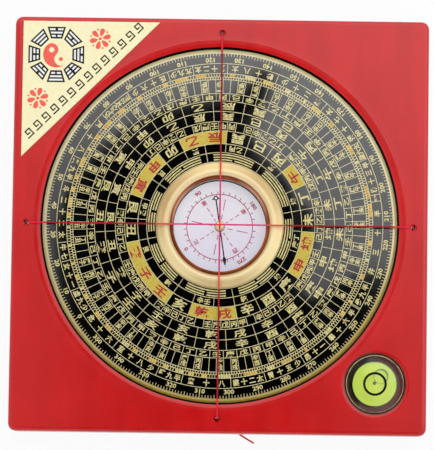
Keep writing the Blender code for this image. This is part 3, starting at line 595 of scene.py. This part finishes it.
def needle_black():
    made = Finish("needle_black", (0.012, 0.013, 0.016), 0.34, 0.6)
    made.rough(made.noise(0.5 * MM, 3), 0.26, 0.42)
    return made


def jewel():
    made = Finish("jewel", (0.35, 0.02, 0.03), 0.08, Coat_Weight=1.0)
    made.mottle(0.3 * MM, 3, (0.28, 0.012, 0.02), (0.45, 0.05, 0.05))
    return made


def felt():
    made = Finish("felt", (0.03, 0.03, 0.032), 0.95, Sheen_Weight=0.3)
    fuzz = made.noise(0.2 * MM, 5)
    made.tint(made.spread(fuzz, *NOISE_WHOLE), (0.018, 0.018, 0.02), (0.06, 0.06, 0.062))
    made.bump(fuzz, 0.08 * MM)
    return made


def black_moulding():
    made = Finish("black_moulding", (0.015, 0.015, 0.016), 0.45)
    made.rough(made.noise(1 * MM, 3), 0.38, 0.55)
    made.bump(made.noise(0.2 * MM, 2), 0.006 * MM, 0.4)
    return made


def clear(name, colour, roughness=0.0, **sockets):
    """A clear finish, which rays from lamps and pale surfaces pass, so that what is behind it is lit."""
    made = Finish(name, colour, roughness, Transmission_Weight=1.0, **sockets)
    made.show(made.rays("Is Shadow Ray", "Is Diffuse Ray"), made.node("ShaderNodeBsdfTransparent", "BSDF"))
    return made


def frosted_edge():
    """A painted highlight on part of the vial's outer rounded edge, where it catches the light."""
    made = Finish("frosted_edge", (0.4, 0.3, 0.15), 0.45)
    made.mottle(2 * MM, 4, (0.22, 0.15, 0.08), (0.55, 0.43, 0.2))
    return made


def white_backing():
    made = Finish("white_backing", (0.82, 0.86, 0.7), 0.5)
    made.mottle(1 * MM, 3, (0.8, 0.84, 0.68), (0.85, 0.9, 0.73))
    return made


def lime_fluid():
    # The fluid's faint glow is painted light, standing in for its fluorescent dye.
    glow = {"Emission_Color": (0.65, 0.85, 0.1, 1), "Emission_Strength": 0.1}
    made = Finish("lime_fluid", (0.7, 0.9, 0.1), 0.12, **glow)
    cloud = made.spread(made.noise(2.2 * MM, 4), *NOISE_MIDDLE, 0.0, 0.4)
    out = made.spread(made.radius(VIAL_AXIS), 0.2 * FLUID_R, FLUID_R, 0.0, 0.6)
    made.tint(made.calc("ADD", cloud, out), (0.76, 0.92, 0.11), (0.62, 0.88, 0.1))
    return made


def fibre():
    """Red thread, which takes the tones that a sheer one has over what lies under it."""
    made = Finish("fibre", (0.86, 0.02, 0.05), 0.6, Specular_IOR_Level=0.25)
    made.mottle(0.25 * MM, 4, (0.8, 0.012, 0.035), (0.92, 0.03, 0.075))
    upper = made.spread(made.height(), 5 * MM, 6 * MM)
    for radius, colour in UNDER_THREAD:
        made.shade(colour, made.inside(radius), upper)
    made.bump(made.noise(0.05 * MM, 3), 0.01 * MM, 0.6)
    return made


def backdrop_white():
    """Plain white. Away from the object it shows at full white, near it by its light with a little glow."""
    made = Finish("backdrop_white", (0.9, 0.9, 0.9), 0.9, Specular_IOR_Level=0.0)
    distance = made.vector("LENGTH", made.place(), output="Value")
    share = made.spread(distance, *FLOOR_GLOW_REACH, FLOOR_GLOW_NEAR, 1.0)
    seen = made.rays("Is Camera Ray", "Is Glossy Ray", "Is Transmission Ray")
    made.show(made.calc("MULTIPLY", share, seen), made.node("ShaderNodeEmission", "Emission"))
    return made


def lamp_cloth():
    """The softbox's cloth, brighter towards its far right."""
    made = Finish("lamp_cloth", (1, 1, 1), 1.0)
    rise = made.dot(made.place(), (SOFTBOX_RISE_X, SOFTBOX_RISE_Y))
    strength = made.spread(made.calc("ADD", rise, SOFTBOX_MIDDLE), *SOFTBOX_RANGE, *SOFTBOX_RANGE)
    made.feed(made.surface, made.node("ShaderNodeEmission", "Emission", {"Strength": strength}))
    return made


def dark_cloth():
    return Finish("dark_cloth", (0.002, 0.002, 0.002), 1.0, Specular_IOR_Level=0.0)


# Shapes


def on_dial(radius, degrees):
    """The point at the dial's own degrees, which run clockwise, in the units of radius."""
    turn = math.radians(DIAL_ZERO_DEG + degrees)
    return (radius * math.sin(turn), radius * math.cos(turn))


def heading(turn):
    """The direction at a turn in radians, anticlockwise from +X."""
    return Vector((math.cos(turn), math.sin(turn)))


def arc(centre, radius, start, end, steps):
    """Points on an arc between two turns in radians, with both of its ends."""
    turns = [start + (end - start) * k / steps for k in range(steps + 1)]
    return [(centre[0] + radius * math.cos(t), centre[1] + radius * math.sin(t)) for t in turns]


def circle(centre, radius, steps):
    return arc(centre, radius, 0, math.tau, steps)[:-1]


def add_object(name, data):
    obj = bpy.data.objects.new(name, data)
    scene.collection.objects.link(obj)
    return obj


def add_mesh(name, points, faces, finish):
    mesh = bpy.data.meshes.new(name)
    mesh.from_pydata(points, [], faces)
    mesh.materials.append(finish.material)
    return add_object(name, mesh)


def merged(parts):
    """Several pairs of points and faces as one."""
    faces = []
    start = 0
    for points, part_faces in parts:
        faces += [[i + start for i in face] for face in part_faces]
        start += len(points)
    return np.concatenate([points for points, _ in parts]).tolist(), faces


def tube_faces(count, sides, closed=False):
    """Faces of a tube with this many sections and sides, with caps on its ends unless it is closed."""
    faces = []
    for i in range(count if closed else count - 1):
        a, b = i * sides, (i + 1) % count * sides
        faces += [[a + k, a + (k + 1) % sides, b + (k + 1) % sides, b + k] for k in range(sides)]
    if not closed:
        faces += [list(range(sides))[::-1], list(range((count - 1) * sides, count * sides))]
    return faces


def face_outwards(mesh):
    bm = bmesh.new()
    bm.from_mesh(mesh)
    bmesh.ops.recalc_face_normals(bm, faces=bm.faces)
    bm.to_mesh(mesh)
    bm.free()


@functools.cache
def sign_shape(text, centre_y, bold):
    """A word as a closed flat shape one high, centred on the origin, with z at plus and minus a half."""
    curve = bpy.data.curves.new("sign", "FONT")
    curve.body = text
    curve.align_x = "CENTER"
    curve.resolution_u = 2
    curve.offset = bold
    curve.extrude = 0.5
    obj = add_object("sign", curve)
    bpy.context.view_layer.update()
    mesh = bpy.data.meshes.new_from_object(obj.evaluated_get(bpy.context.evaluated_depsgraph_get()))
    bpy.data.objects.remove(obj)
    bm = bmesh.new()
    bm.from_mesh(mesh)
    bmesh.ops.remove_doubles(bm, verts=bm.verts, dist=0.0005)
    points = np.array([v.co for v in bm.verts], float)
    faces = [[v.index for v in f.verts] for f in bm.faces]
    bm.free()
    bpy.data.meshes.remove(mesh)
    points[:, 1] -= centre_y
    return points, faces


class Print:
    """Flat shapes of one ink, gathered into one thin closed mesh. Places and sizes are in millimetres."""

    def __init__(self, surface_z, finish, above=INK_ABOVE):
        self.bottom = surface_z - INK_BELOW
        self.top = surface_z + above
        self.finish = finish
        self.parts = []

    def outline(self, outline):
        """A plate with this outline."""
        points = [(x * MM, y * MM, z) for z in (self.bottom, self.top) for x, y in outline]
        self.parts.append((points, tube_faces(2, len(outline))))

    def strip(self, first, second, closed=False):
        """A plate between two lines of points."""
        points = []
        for pair in zip(first, second):
            corners = zip((*pair, *pair[::-1]), (self.bottom, self.bottom, self.top, self.top))
            points += [(x * MM, y * MM, z) for (x, y), z in corners]
        self.parts.append((points, tube_faces(len(first), 4, closed)))

    def sector(self, inner, outer, start, end):
        """Part of a ring between two of the dial's angles."""
        steps = max(1, round(abs(end - start) / SECTOR_STEP_DEG))
        turns = [start + (end - start) * k / steps for k in range(steps + 1)]
        self.strip([on_dial(outer, t) for t in turns], [on_dial(inner, t) for t in turns])

    def ring(self, radius, width, centre=(0, 0), steps=RING_STEPS):
        self.strip(*(circle(centre, radius + side * width / 2, steps) for side in (-1, 1)), closed=True)

    def spoke(self, inner, outer, degrees, width):
        """A straight line along a radius of the dial."""
        self.bar(on_dial(inner, degrees), on_dial(outer, degrees), width)

    def bar(self, start, end, width):
        start, end = Vector(start), Vector(end)
        side = (end - start).orthogonal().normalized() * width / 2
        self.outline([start - side, end - side, end + side, start + side])

    def disc(self, centre, radius, steps=32):
        self.outline(circle(centre, radius, steps))

    def word(self, text, place, height, up, bold=0.018, centre_y=SIGN_CENTRE_Y, wide=1.0):
        """A word whose top points along up."""
        points, faces = sign_shape(text, centre_y, bold)
        up = Vector(up).normalized()
        right = -up.orthogonal()
        flat = np.outer(points[:, 0] * height * wide, right) + np.outer(points[:, 1] * height, up)
        z = np.where(points[:, 2] > 0, self.top, self.bottom)
        self.parts.append((np.column_stack([(flat + np.array(place)) * MM, z]), faces))

    def dial_word(self, text, radius, degrees, height, **more):
        """A word with its top towards the dial's centre."""
        x, y = on_dial(radius, degrees)
        self.word(text, (x, y), height, (-x, -y), **more)

    def make(self, name, body="dial"):
        obj = add_mesh(name, *merged(self.parts), self.finish)
        face_outwards(obj.data)
        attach(obj, body)


def lathe(name, profile, finish, body, centre=(0, 0)):
    """A ring turned about an upright axis from a closed profile of (radius, height)."""
    around = circle((0, 0), 1, RING_STEPS)
    points = [(centre[0] + r * x, centre[1] + r * y, z) for x, y in around for r, z in profile]
    obj = add_mesh(name, points, tube_faces(RING_STEPS, len(profile), True), finish)
    face_outwards(obj.data)
    obj.data.shade_smooth()
    obj.data.set_sharp_from_angle(angle=math.radians(LATHE_SMOOTH_BELOW_DEG))
    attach(obj, body)
    return obj


def smooth_route(places, per_span):
    """Points on a smooth curve through the given places."""
    knots = [Vector(place) for place in places]
    ends = [2 * knots[0] - knots[1], *knots, 2 * knots[-1] - knots[-2]]
    points = []
    for before, start, end, after in zip(ends, ends[1:], ends[2:], ends[3:]):
        handles = start + (end - before) / 6, end - (after - start) / 6
        points += interpolate_bezier(start, *handles, end, per_span + 1)[:-1]
    return [*points, knots[-1]]


def evenly(points, step):
    """The same line with points a step apart."""
    points = np.array(points, float)
    lengths = np.append(0, np.cumsum(np.linalg.norm(np.diff(points, axis=0), axis=1)))
    wanted = np.linspace(0, lengths[-1], max(2, round(lengths[-1] / step)) + 1)
    return np.column_stack([np.interp(wanted, lengths, column) for column in points.T])


def frames_along(line, aside, closed=False):
    """Two directions square to a line at each of its points, which turn as little as they can."""
    if closed:
        ahead, behind = np.roll(line, -1, axis=0), np.roll(line, 1, axis=0)
    else:
        ahead = np.vstack([line[1:], 2 * line[-1] - line[-2]])
        behind = np.vstack([2 * line[0] - line[1], line[:-1]])
    tangents = ahead - behind
    tangents /= np.linalg.norm(tangents, axis=1)[:, None]
    normal = np.cross(tangents[0], aside)
    frames = []
    for tangent in tangents:
        normal = normal - tangent * (normal @ tangent)
        normal /= np.linalg.norm(normal)
        frames.append((normal, np.cross(tangent, normal)))
    return frames


def off_line(place, frame, distance, turn):
    """A point beside a line, at a turn round it."""
    return place + distance * (math.cos(turn) * frame[0] + math.sin(turn) * frame[1])


def tube_parts(line, radius, sides, closed=False):
    """Points and faces of a tube along a line."""
    line = np.asarray(line, float)
    points = []
    for place, frame in zip(line, frames_along(line, TUBE_ASIDE, closed)):
        points += [off_line(place, frame, radius, math.tau * k / sides) for k in range(sides)]
    return points, tube_faces(len(line), sides, closed)


def twisted(line):
    """The strands of a twisted thread along a line, as a list of (points, faces)."""
    line = evenly(line, TWIST_PITCH / TWIST_STEPS)
    frames = frames_along(line, TWIST_ASIDE)
    strands = []
    for strand in range(STRANDS):
        turns = [math.tau * (strand / STRANDS + k / TWIST_STEPS) for k in range(len(line))]
        places = [off_line(*row, STRAND_OFFSET, turn) for *row, turn in zip(line, frames, turns)]
        strands.append(tube_parts(places, STRAND_R, STRAND_SIDES))
    return strands


def knot_line(centre, radius):
    """A trefoil that fills a ball."""
    places = []
    for k in range(KNOT_STEPS):
        t = math.tau * k / KNOT_STEPS
        x = math.sin(t) + 2 * math.sin(2 * t)
        y = math.cos(t) - 2 * math.cos(2 * t)
        z = -KNOT_DEPTH * math.sin(3 * t)
        places.append(Vector(centre) + Vector((x, y, z)) * radius / 3)
    return places


def thread_piece(name, parts, finish, node):
    obj = add_mesh(name, *merged(parts), finish)
    obj.data.shade_smooth()
    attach(obj, "base")
    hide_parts(node)


# The dial's printing


def row_room(row):
    """The radii between a ring line, which gives the row its number, and the next."""
    return LINE_RADII[row] + LINE_WIDTH / 2, LINE_RADII[row + 1] - LINE_WIDTH / 2


def row_middle(row):
    return (LINE_RADII[row] + LINE_RADII[row + 1]) / 2


def mansion_spans():
    """Each mansion's text and where it starts and ends on the dial."""
    whole = sum(width for _, width in MANSIONS)
    end = 0.0
    for text, width in MANSIONS:
        start, end = end, end + 360 * width / whole
        yield text, start, end


def ring_lines(pale_gold):
    lines = Print(DIAL_TOP, pale_gold)
    for radius in LINE_RADII:
        lines.ring(radius, LINE_WIDTH)
    lines.ring(FOOT_LINE_R, FOOT_LINE_WIDTH)
    lines.make("dial_ring_lines")


def dividers(pale_gold):
    """Lines between the cells of a row, but for mountains that share a gold band."""
    spokes = Print(DIAL_TOP, pale_gold)
    pairs = [MOUNTAINS[k] + MOUNTAINS[(k + 1) % 24] for k in range(24)]
    joined = {(1, k) for k, pair in enumerate(pairs) if any(pair in text for text in BANDS)}
    start, end = TRIGRAM_DIVIDER_START + LINE_WIDTH / 2, LINE_RADII[0] - LINE_WIDTH / 2
    for k in range(8):
        spokes.spoke(start, end, 45 * k + 22.5, DIVIDER_WIDTH)
    for row, count, first in DIVIDED_ROWS:
        for k in range(count):
            if (row, k) not in joined:
                spokes.spoke(*row_room(row), first + 360 / count * k, DIVIDER_WIDTH)
    for _, start, _ in mansion_spans():
        spokes.spoke(*row_room(9), start, DIVIDER_WIDTH)
    spokes.make("dial_dividers")


def dial_trigrams(gold):
    trigrams = Print(DIAL_TOP, gold)
    for k, bars in enumerate(TRIGRAMS):
        low, high = 45 * k - TRIGRAM_HALF_SPAN_DEG, 45 * k + TRIGRAM_HALF_SPAN_DEG
        halves = (low, 45 * k - TRIGRAM_HALF_GAP_DEG), (45 * k + TRIGRAM_HALF_GAP_DEG, high)
        for radius, bar in zip(TRIGRAM_RADII, bars):
            for start, end in [(low, high)] if bar == "1" else halves:
                trigrams.sector(radius - TRIGRAM_BAR / 2, radius + TRIGRAM_BAR / 2, start, end)
    trigrams.make("dial_trigrams")


def gold_bands(band):
    bands = Print(DIAL_TOP, band, THIN_INK)
    room = row_room(1)
    edge = math.degrees(DIVIDER_WIDTH / sum(room))
    for text in BANDS:
        start = (MOUNTAINS.index(text[0]) - 0.5) * MOUNTAIN_DEG
        bands.sector(*room, start + edge, start + MOUNTAIN_DEG * len(text) - edge)
    bands.make("dial_gold_bands")


def mountain_signs(gold, red):
    signs = Print(DIAL_TOP, gold)
    red_signs = Print(DIAL_TOP + THIN_INK, red, THIN_INK)
    for k, sign in enumerate(MOUNTAINS):
        angle = MOUNTAIN_DEG * k
        target = red_signs if any(sign in text for text in BANDS) else signs
        target.dial_word(sign, row_middle(1), angle, **MOUNTAIN_SIGNS)
        springs = SPRINGS.get(sign, "")
        for j, letter in enumerate(springs):
            shift = (j - (len(springs) - 1) / 2) * SPRING_PITCH_DEG
            signs.dial_word(letter, row_middle(0), angle - shift, **SPRING_SIGNS)
        for row, shift, wide in SHIFTED_ROWS:
            signs.dial_word(sign, row_middle(row), angle + shift, wide=wide, **SHIFTED_SIGNS)
    signs.make("dial_mountain_signs")
    red_signs.make("dial_red_signs", "dial")


def stem_signs(gold):
    stems = Print(DIAL_TOP, gold)
    for k in range(12):
        for j in range(5):
            stem = STEMS[(k + 2 * j) % 10]
            stems.dial_word(stem, row_middle(2), 30 * k + 5 * j - 10, **STEM_SIGNS)
            angle = OUTER_STEM_START_DEG + 30 * k + 6 * j
            stems.dial_word(stem, row_middle(5), angle, **OUTER_STEM_SIGNS)
    for k in range(24):
        for shift, stem in zip((-PAIR_HALF_DEG, PAIR_HALF_DEG), STEM_PAIRS[k // 2 % 2]):
            angle = MOUNTAIN_DEG * k + shift
            stems.dial_word(stem, LINE_RADII[6] + PAIR_STEM_INSET, angle, **PAIR_SIGNS)
            stems.dial_word(BRANCHES[k // 2], LINE_RADII[7] - PAIR_BRANCH_INSET, angle, **PAIR_SIGNS)
    stems.make("dial_stem_signs")


def fine_rows(gold, orange):
    """A dash in each degree, and a row of strokes with cells between some of them filled."""
    fine = Print(DIAL_TOP, gold, THIN_INK)
    warm = Print(DIAL_TOP, orange, THIN_INK)
    for degree in range(360):
        fine.sector(*row_room(7), degree + 0.5 - DASH_HALF_DEG, degree + 0.5 + DASH_HALF_DEG)
    draw = random.Random(RUNS_SEED)
    degree = 0
    while degree < 360:
        bare = draw.choice(BARE_RUNS)
        for k in range(degree, min(degree + bare, 360)):
            fine.sector(*row_room(8), k - STROKE_HALF_DEG, k + STROKE_HALF_DEG)
        degree += bare
        end = min(degree + draw.choice(FILLED_RUNS), 360)
        if degree < 360:
            target = warm if draw.random() < ORANGE_SHARE else fine
            for k in range(degree, end):
                target.sector(*row_room(8), k - STROKE_HALF_DEG, k + FILLED_DEG)
            target.sector(*row_room(8), end - STROKE_HALF_DEG, end + STROKE_HALF_DEG)
        degree = end + 1
    fine.make("dial_fine_cells")
    warm.make("dial_orange_cells")


def mansion_signs(gold):
    mansions = Print(DIAL_TOP, gold)
    for text, start, end in mansion_spans():
        pitch = (end - start) / len(text)
        height = min(MANSION_HEIGHT, pitch * MANSION_HEIGHT_SHARE)
        for j, letter in enumerate(text):
            angle = (start + end) / 2 - (j + 0.5 - len(text) / 2) * pitch * MANSION_PITCH_SHARE
            mansions.dial_word(letter, row_middle(9), angle, height, **MANSION_SIGNS)
    mansions.make("dial_mansion_signs")


def degree_scale(gold):
    scale = Print(DIAL_TOP, gold)
    for degree in range(360):
        kind = 2 if degree % 10 == 0 else 1 if degree % 5 == 0 else 0
        scale.spoke(RIM_INNER_R - TICK_LENGTHS[kind], RIM_INNER_R, degree, TICK_WIDTH)
        if kind == 2:
            scale.dial_word(str(degree), NUMBER_R, degree, **DEGREE_NUMBERS)
    scale.make("dial_degree_scale")


def dial_rim(finish):
    """The bare bevelled rim of the dial's brass plate."""
    inner, outer = RIM_INNER_R * MM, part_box("dial_face")[1].x
    shoulder = DIAL_TOP - RIM_DROP + INK_ABOVE
    profile = [
        (inner, DIAL_TOP - INK_ABOVE),
        (inner, DIAL_TOP + INK_ABOVE),
        (outer, shoulder),
        (outer + INK_ABOVE, shoulder - INK_ABOVE),
        (outer + INK_ABOVE, shoulder - RIM_DROP),
        (outer - 5 * INK_ABOVE, shoulder - RIM_DROP),
    ]
    lathe("dial_rim", profile, finish, "dial")


# The compass card's printing


def card_printing(red):
    card = Print(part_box("compass_card")[1].z, red, THIN_INK)
    card.ring(CARD_CIRCLE_R, CARD_LINE, steps=144)
    for k in range(36):
        card.spoke(CARD_CIRCLE_R, CARD_CIRCLE_R + CARD_TICK, 10 * k, CARD_LINE)
    for angle, sign in zip((0, 90, 180, 270), "北東南西"):
        outward = on_dial(1, angle)
        card.word(str(angle), on_dial(CARD_NUMBER_R, angle), up=outward, **CARD_NUMBERS)
        card.word(sign, on_dial(CARD_SIGN_R, angle), up=outward, **CARD_SIGNS)
        for inner, outer in CARD_DASHES:
            card.spoke(inner, outer, angle, CARD_LINE)
        for inner, outer in CARD_LONG_DASHES:
            card.spoke(inner, outer, angle + 45, CARD_LINE)
    card.make("card_markings", "dial")


# The corner label's printing


def label_trigrams(dark, light):
    """Eight dark blocks round the octagon's middle, each with three pale bars."""
    for k, bars in enumerate(LABEL_TRIGRAMS):
        turn = Matrix.Rotation(math.radians(-45 * k), 2)

        def block(print_, low, high, left, right, margin, turn=turn):
            """Part of a trapezoid, between two distances from the middle and two shares of its width."""
            corners = []
            for across, out in ((left, low), (right, low), (right, high), (left, high)):
                share = (out - TRIGRAM_INNER) / (TRIGRAM_OUTER - TRIGRAM_INNER)
                half = TRIGRAM_INNER_HALF + (TRIGRAM_OUTER_HALF - TRIGRAM_INNER_HALF) * share - margin
                corners.append(Vector(LABEL_OCTAGON) + turn @ Vector((across * half, out)))
            print_.outline(corners)

        block(dark, TRIGRAM_INNER, TRIGRAM_OUTER, -1, 1, 0)
        for j, bar in enumerate(bars):
            high = TRIGRAM_OUTER - TRIGRAM_BAR_INSET - TRIGRAM_BAR_PITCH * j
            halves = (-1, -TRIGRAM_GAP_SHARE), (TRIGRAM_GAP_SHARE, 1)
            for left, right in [(-1, 1)] if bar == "1" else halves:
                block(light, high - TRIGRAM_BAR_HEIGHT, high, left, right, TRIGRAM_MARGIN)


def yin_yang(seal, eye):
    """The red half of the round sign, with an eye in it and one in the bare half."""
    centre = Vector(LABEL_OCTAGON)
    axis = math.radians(YIN_YANG_AXIS_DEG)
    head = centre + heading(axis) * YIN_YANG_R / 2
    tail = centre - heading(axis) * YIN_YANG_R / 2
    outline = arc(centre, YIN_YANG_R, axis, axis + math.pi, 32)
    outline += arc(tail, YIN_YANG_R / 2, axis + math.pi, axis, 18)[1:]
    outline += arc(head, YIN_YANG_R / 2, axis + math.pi, axis + math.tau, 18)[1:-1]
    seal.outline(outline)
    eye.disc(head, YIN_YANG_EYES[0])
    seal.disc(tail, YIN_YANG_EYES[1])


def rosette(seal, middle):
    for k in range(PETALS):
        turn = math.tau * (k + 0.25) / PETALS
        along, across = heading(turn), heading(turn + math.pi / 2)
        petal = []
        for x, y in circle((0, 0), 1, 20):
            out = along * (PETAL_R + PETAL_HALF_LENGTH * x)
            petal.append(middle + out + across * PETAL_HALF_WIDTH * y * (1 + PETAL_BROADENING * x))
        seal.outline(petal)
        seal.disc(middle + heading(turn + math.pi / PETALS) * BUD_R, BUD_SIZE, 14)
    seal.disc(middle, ROSETTE_HEART_R, 20)


def fret_line(dark):
    """A row of squared keys along the label's slanted edge."""
    start, end = Vector(FRET_START), Vector(FRET_END)
    along = (end - start).normalized()
    across = along.orthogonal()
    for k in range(FRET_COUNT):
        middle = start.lerp(end, k / (FRET_COUNT - 1))
        corners = [middle + (along * x + across * y) * FRET_SCALE for x, y in FRET_KEY]
        for a, b in zip(corners, corners[1:]):
            overlap = (b - a).normalized() * FRET_CORNER
            dark.bar(a - overlap, b + overlap, FRET_LINE)


def label_printing(black, white, red, paper):
    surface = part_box("corner_label")[1].z
    dark = Print(surface, black, LABEL_INK)
    light = Print(surface + LABEL_INK, white, LABEL_TOP_INK)
    label_trigrams(dark, light)
    light.make("label_trigram_bars", "base")
    seal = Print(surface, red, LABEL_INK)
    eye = Print(surface + LABEL_INK, paper, LABEL_TOP_INK)
    yin_yang(seal, eye)
    for middle in ROSETTES:
        rosette(seal, Vector(middle))
    seal.make("label_red_print", "base")
    eye.make("label_pale_eye", "base")
    fret_line(dark)
    dark.make("label_black_print", "base")


# The round level


def level_details(black, olive, green, edge_finish):
    centre = (VIAL_AXIS[0] / MM, VIAL_AXIS[1] / MM)
    ring = Print(VIAL_TOP, black, THIN_INK)
    ring.ring(LEVEL_CIRCLE_R - LEVEL_CIRCLE_LINE / 2, LEVEL_CIRCLE_LINE, centre, 96)
    ring.make("level_circle", "base")
    # A dark olive dot on top of the fluid, a little off the vial's middle.
    dot = Print(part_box("level_fluid")[1].z, olive, THIN_INK)
    dot.disc((centre[0], centre[1] + LEVEL_DOT_SHIFT), LEVEL_DOT_R)
    dot.make("level_dot", "level_fluid")

    # A thin ring on part of the vial's rounded edge: a painted highlight.
    corner = (VIAL_R - VIAL_EDGE_R, VIAL_TOP - VIAL_EDGE_R)
    start, end = (math.radians(degrees) for degrees in HIGHLIGHT_EDGE_DEG)
    outer, inner = (arc(corner, VIAL_EDGE_R + r, start, end, 3) for r in (INK_BELOW, -INK_BELOW))
    lathe("level_edge", outer + inner[::-1], edge_finish, "base", VIAL_AXIS)

    # A dark green crescent just inside the bubble's rim, widest on its side away from the vial's middle:
    # painted shade of the bubble's rim.
    low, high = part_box("level_bubble")
    middle = (low + high) / 2 / MM
    outward = math.atan2(middle.y - centre[1], middle.x - centre[0])
    edge = Print((low.z + high.z) / 2, green, THIN_INK)
    radius = (high.x - low.x) / 2 / MM - BUBBLE_LINE_INSET
    share, power = BUBBLE_LINE_TAPER
    rows = [], []
    for k in range(-BUBBLE_LINE_STEPS, BUBBLE_LINE_STEPS + 1):
        turn = math.radians(BUBBLE_LINE_HALF_DEG * k / BUBBLE_LINE_STEPS)
        width = BUBBLE_LINE * max(0.0, math.cos(turn * share)) ** power + BUBBLE_LINE_LEAST
        for row, side in zip(rows, (-1, 1)):
            row.append(middle.xy + heading(outward + turn) * (radius + side * width))
    edge.strip(*rows)
    edge.make("bubble_edge", "bubble")


# Threads


def taut_line(node, along):
    """Half a thread's run from its knot up through the hole, then the same mirrored."""
    low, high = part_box(node)
    reach = high[along] - KNOT_R
    bend = arc((reach - THREAD_BEND_R, RISE_Z - THREAD_BEND_R), THREAD_BEND_R, 0, math.pi / 2, 6)
    half = [(reach, low.z + KNOT_R), *bend, (0, high.z - THREAD_R)]
    run = half + [(-r, z) for r, z in half[-2::-1]]
    return [((r, 0, z) if along == 0 else (0, r, z)) for r, z in run]


def threads(finish):
    for node, along in (("thread_north_south", 1), ("thread_east_west", 0)):
        line = taut_line(node, along)
        parts = twisted(line)
        for end in (line[0], line[-1]):
            knot = knot_line(end, KNOT_R - THREAD_R)
            parts.append(tube_parts(knot, THREAD_R * KNOT_THREAD_SHARE, KNOT_SIDES, closed=True))
        thread_piece("twisted_" + node, parts, finish, node)
    thread_piece("twisted_thread_tail", twisted(smooth_route(TAIL_ROUTE, 6)), finish, "thread_tail")


# Surroundings


def stage_set():
    steps = STAGE_STEPS
    points = [(0, 0, 0)]
    for k in range(BACKDROP_ROWS + 1):
        turn = math.pi / 2 * k / BACKDROP_ROWS
        radius = FLOOR_R + (BACKDROP_R - FLOOR_R) * math.sin(turn)
        height = BACKDROP_HEIGHT * (1 - math.cos(turn))
        points += [(x, y, height) for x, y in circle((0, 0), radius, steps)]
    faces = [[0, 1 + k, 1 + (k + 1) % steps] for k in range(steps)]
    for row in range(BACKDROP_ROWS):
        a, b = 1 + row * steps, 1 + (row + 1) * steps
        faces += [[a + k, b + k, b + (k + 1) % steps, a + (k + 1) % steps] for k in range(steps)]
    floor = add_mesh("floor", points, faces, backdrop_white())
    floor.data.shade_smooth()

    around = circle((0, 0), SOFTBOX_R, steps)
    opening = [(x * MM, y * MM) for x, y in OPENING]
    loops = [[Vector((x, y, SOFTBOX_HEIGHT)) for x, y in loop] for loop in (around, opening)]
    softbox = add_mesh("softbox", loops[0] + loops[1], tessellate_polygon(loops), lamp_cloth())
    lid = [(x, y, SOFTBOX_HEIGHT + SHROUD_GAP) for x, y in around]
    shroud = add_mesh("shroud", lid, [list(range(steps))], dark_cloth())
    softbox.visible_camera = shroud.visible_camera = False

    world = bpy.data.worlds.new("room")
    world.use_nodes = True
    background = world.node_tree.nodes["Background"].inputs
    background["Color"].default_value = (1, 1, 1, 1)
    background["Strength"].default_value = FILL_STRENGTH
    scene.world = world
    scene.view_settings.view_transform = "Standard"


def photo_camera():
    tilt = math.radians(CAMERA_TILT_DEG)
    data = bpy.data.cameras.new("photo_camera")
    data.lens = CAMERA_LENS_MM
    data.sensor_width = CAMERA_SENSOR_MM
    data.clip_start = CAMERA_CLIP
    camera = add_object("photo_camera", data)
    place = CAMERA_AIM + CAMERA_DISTANCE * Vector((0, -math.sin(tilt), math.cos(tilt)))
    roll = Matrix.Rotation(math.radians(CAMERA_ROLL_DEG), 4, "Z")
    camera.matrix_world = Matrix.Translation(place) @ Matrix.Rotation(tilt, 4, "X") @ roll
    scene.camera = camera


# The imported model's own nodes


def dress(finishes):
    for node, finish in finishes.items():
        obj = frame["nodes"][node]
        obj.data.materials.clear()
        obj.data.materials.append(finish.material)
        obj.data.shade_smooth()
        obj.data.set_sharp_from_angle(angle=math.radians(SMOOTH_BELOW_DEG))


acrylic = clear("clear_acrylic", (0.97, 0.96, 0.9), 0.02, IOR=1.49, Specular_IOR_Level=0.3)
paper = label_paper()
dress(
    {
        "base_plate": red_lacquer(),
        "corner_label": paper,
        "glide_ring": felt(),
        "dial_disc": black_moulding(),
        "dial_face": black_enamel(),
        "compass_cup": blackened_brass(),
        "compass_card": card_paper(),
        "compass_glass": clear("clear_glass", (1, 1, 1), IOR=1.5),
        "compass_retainer": copper(),
        "compass_bezel": bezel_brass(),
        "pivot_post": plain_brass(),
        "needle": needle_black(),
        "needle_cap": cap_brass(),
        "needle_jewel": jewel(),
        "level_vial": acrylic,
        "level_plug": acrylic,
        "level_backing": white_backing(),
        "level_fluid": lime_fluid(),
        "level_bubble": clear("air_bubble", (0.97, 1.0, 0.93), IOR=1.15),
    }
)
gold = gold_print("gold_print", (0.6, 0.5, 0.17), (0.82, 0.74, 0.37))
pale_gold = gold_print("pale_gold_lines", (0.62, 0.54, 0.25), (0.8, 0.73, 0.44))
ring_lines(pale_gold)
dividers(pale_gold)
dial_trigrams(gold)
gold_bands(gold_band())
mountain_signs(gold, ink("ink_red", (0.38, 0.008, 0.006), (0.48, 0.016, 0.01)))
stem_signs(gold)
fine_rows(gold, orange_cells())
mansion_signs(gold)
degree_scale(gold)
dial_rim(rim_brass())
card_printing(ink("card_red", (0.6, 0.012, 0.07), (0.74, 0.035, 0.11)))
label_printing(
    ink("ink_black", (0.004, 0.004, 0.004), (0.014, 0.014, 0.013), Specular_IOR_Level=0.15),
    ink("ink_white", (0.86, 0.86, 0.84), (0.93, 0.93, 0.9)),
    ink("label_red", (0.9, 0.08, 0.055), (0.98, 0.15, 0.1)),
    paper,
)
level_details(
    ink("level_black", (0.003, 0.004, 0.002), (0.008, 0.01, 0.004), Specular_IOR_Level=0.1),
    ink("level_dot_olive", (0.1, 0.16, 0.012), (0.16, 0.24, 0.02)),
    ink("bubble_rim_shade", (0.07, 0.2, 0.015), (0.12, 0.28, 0.02)),
    frosted_edge(),
)
threads(fibre())
stage_set()
photo_camera()
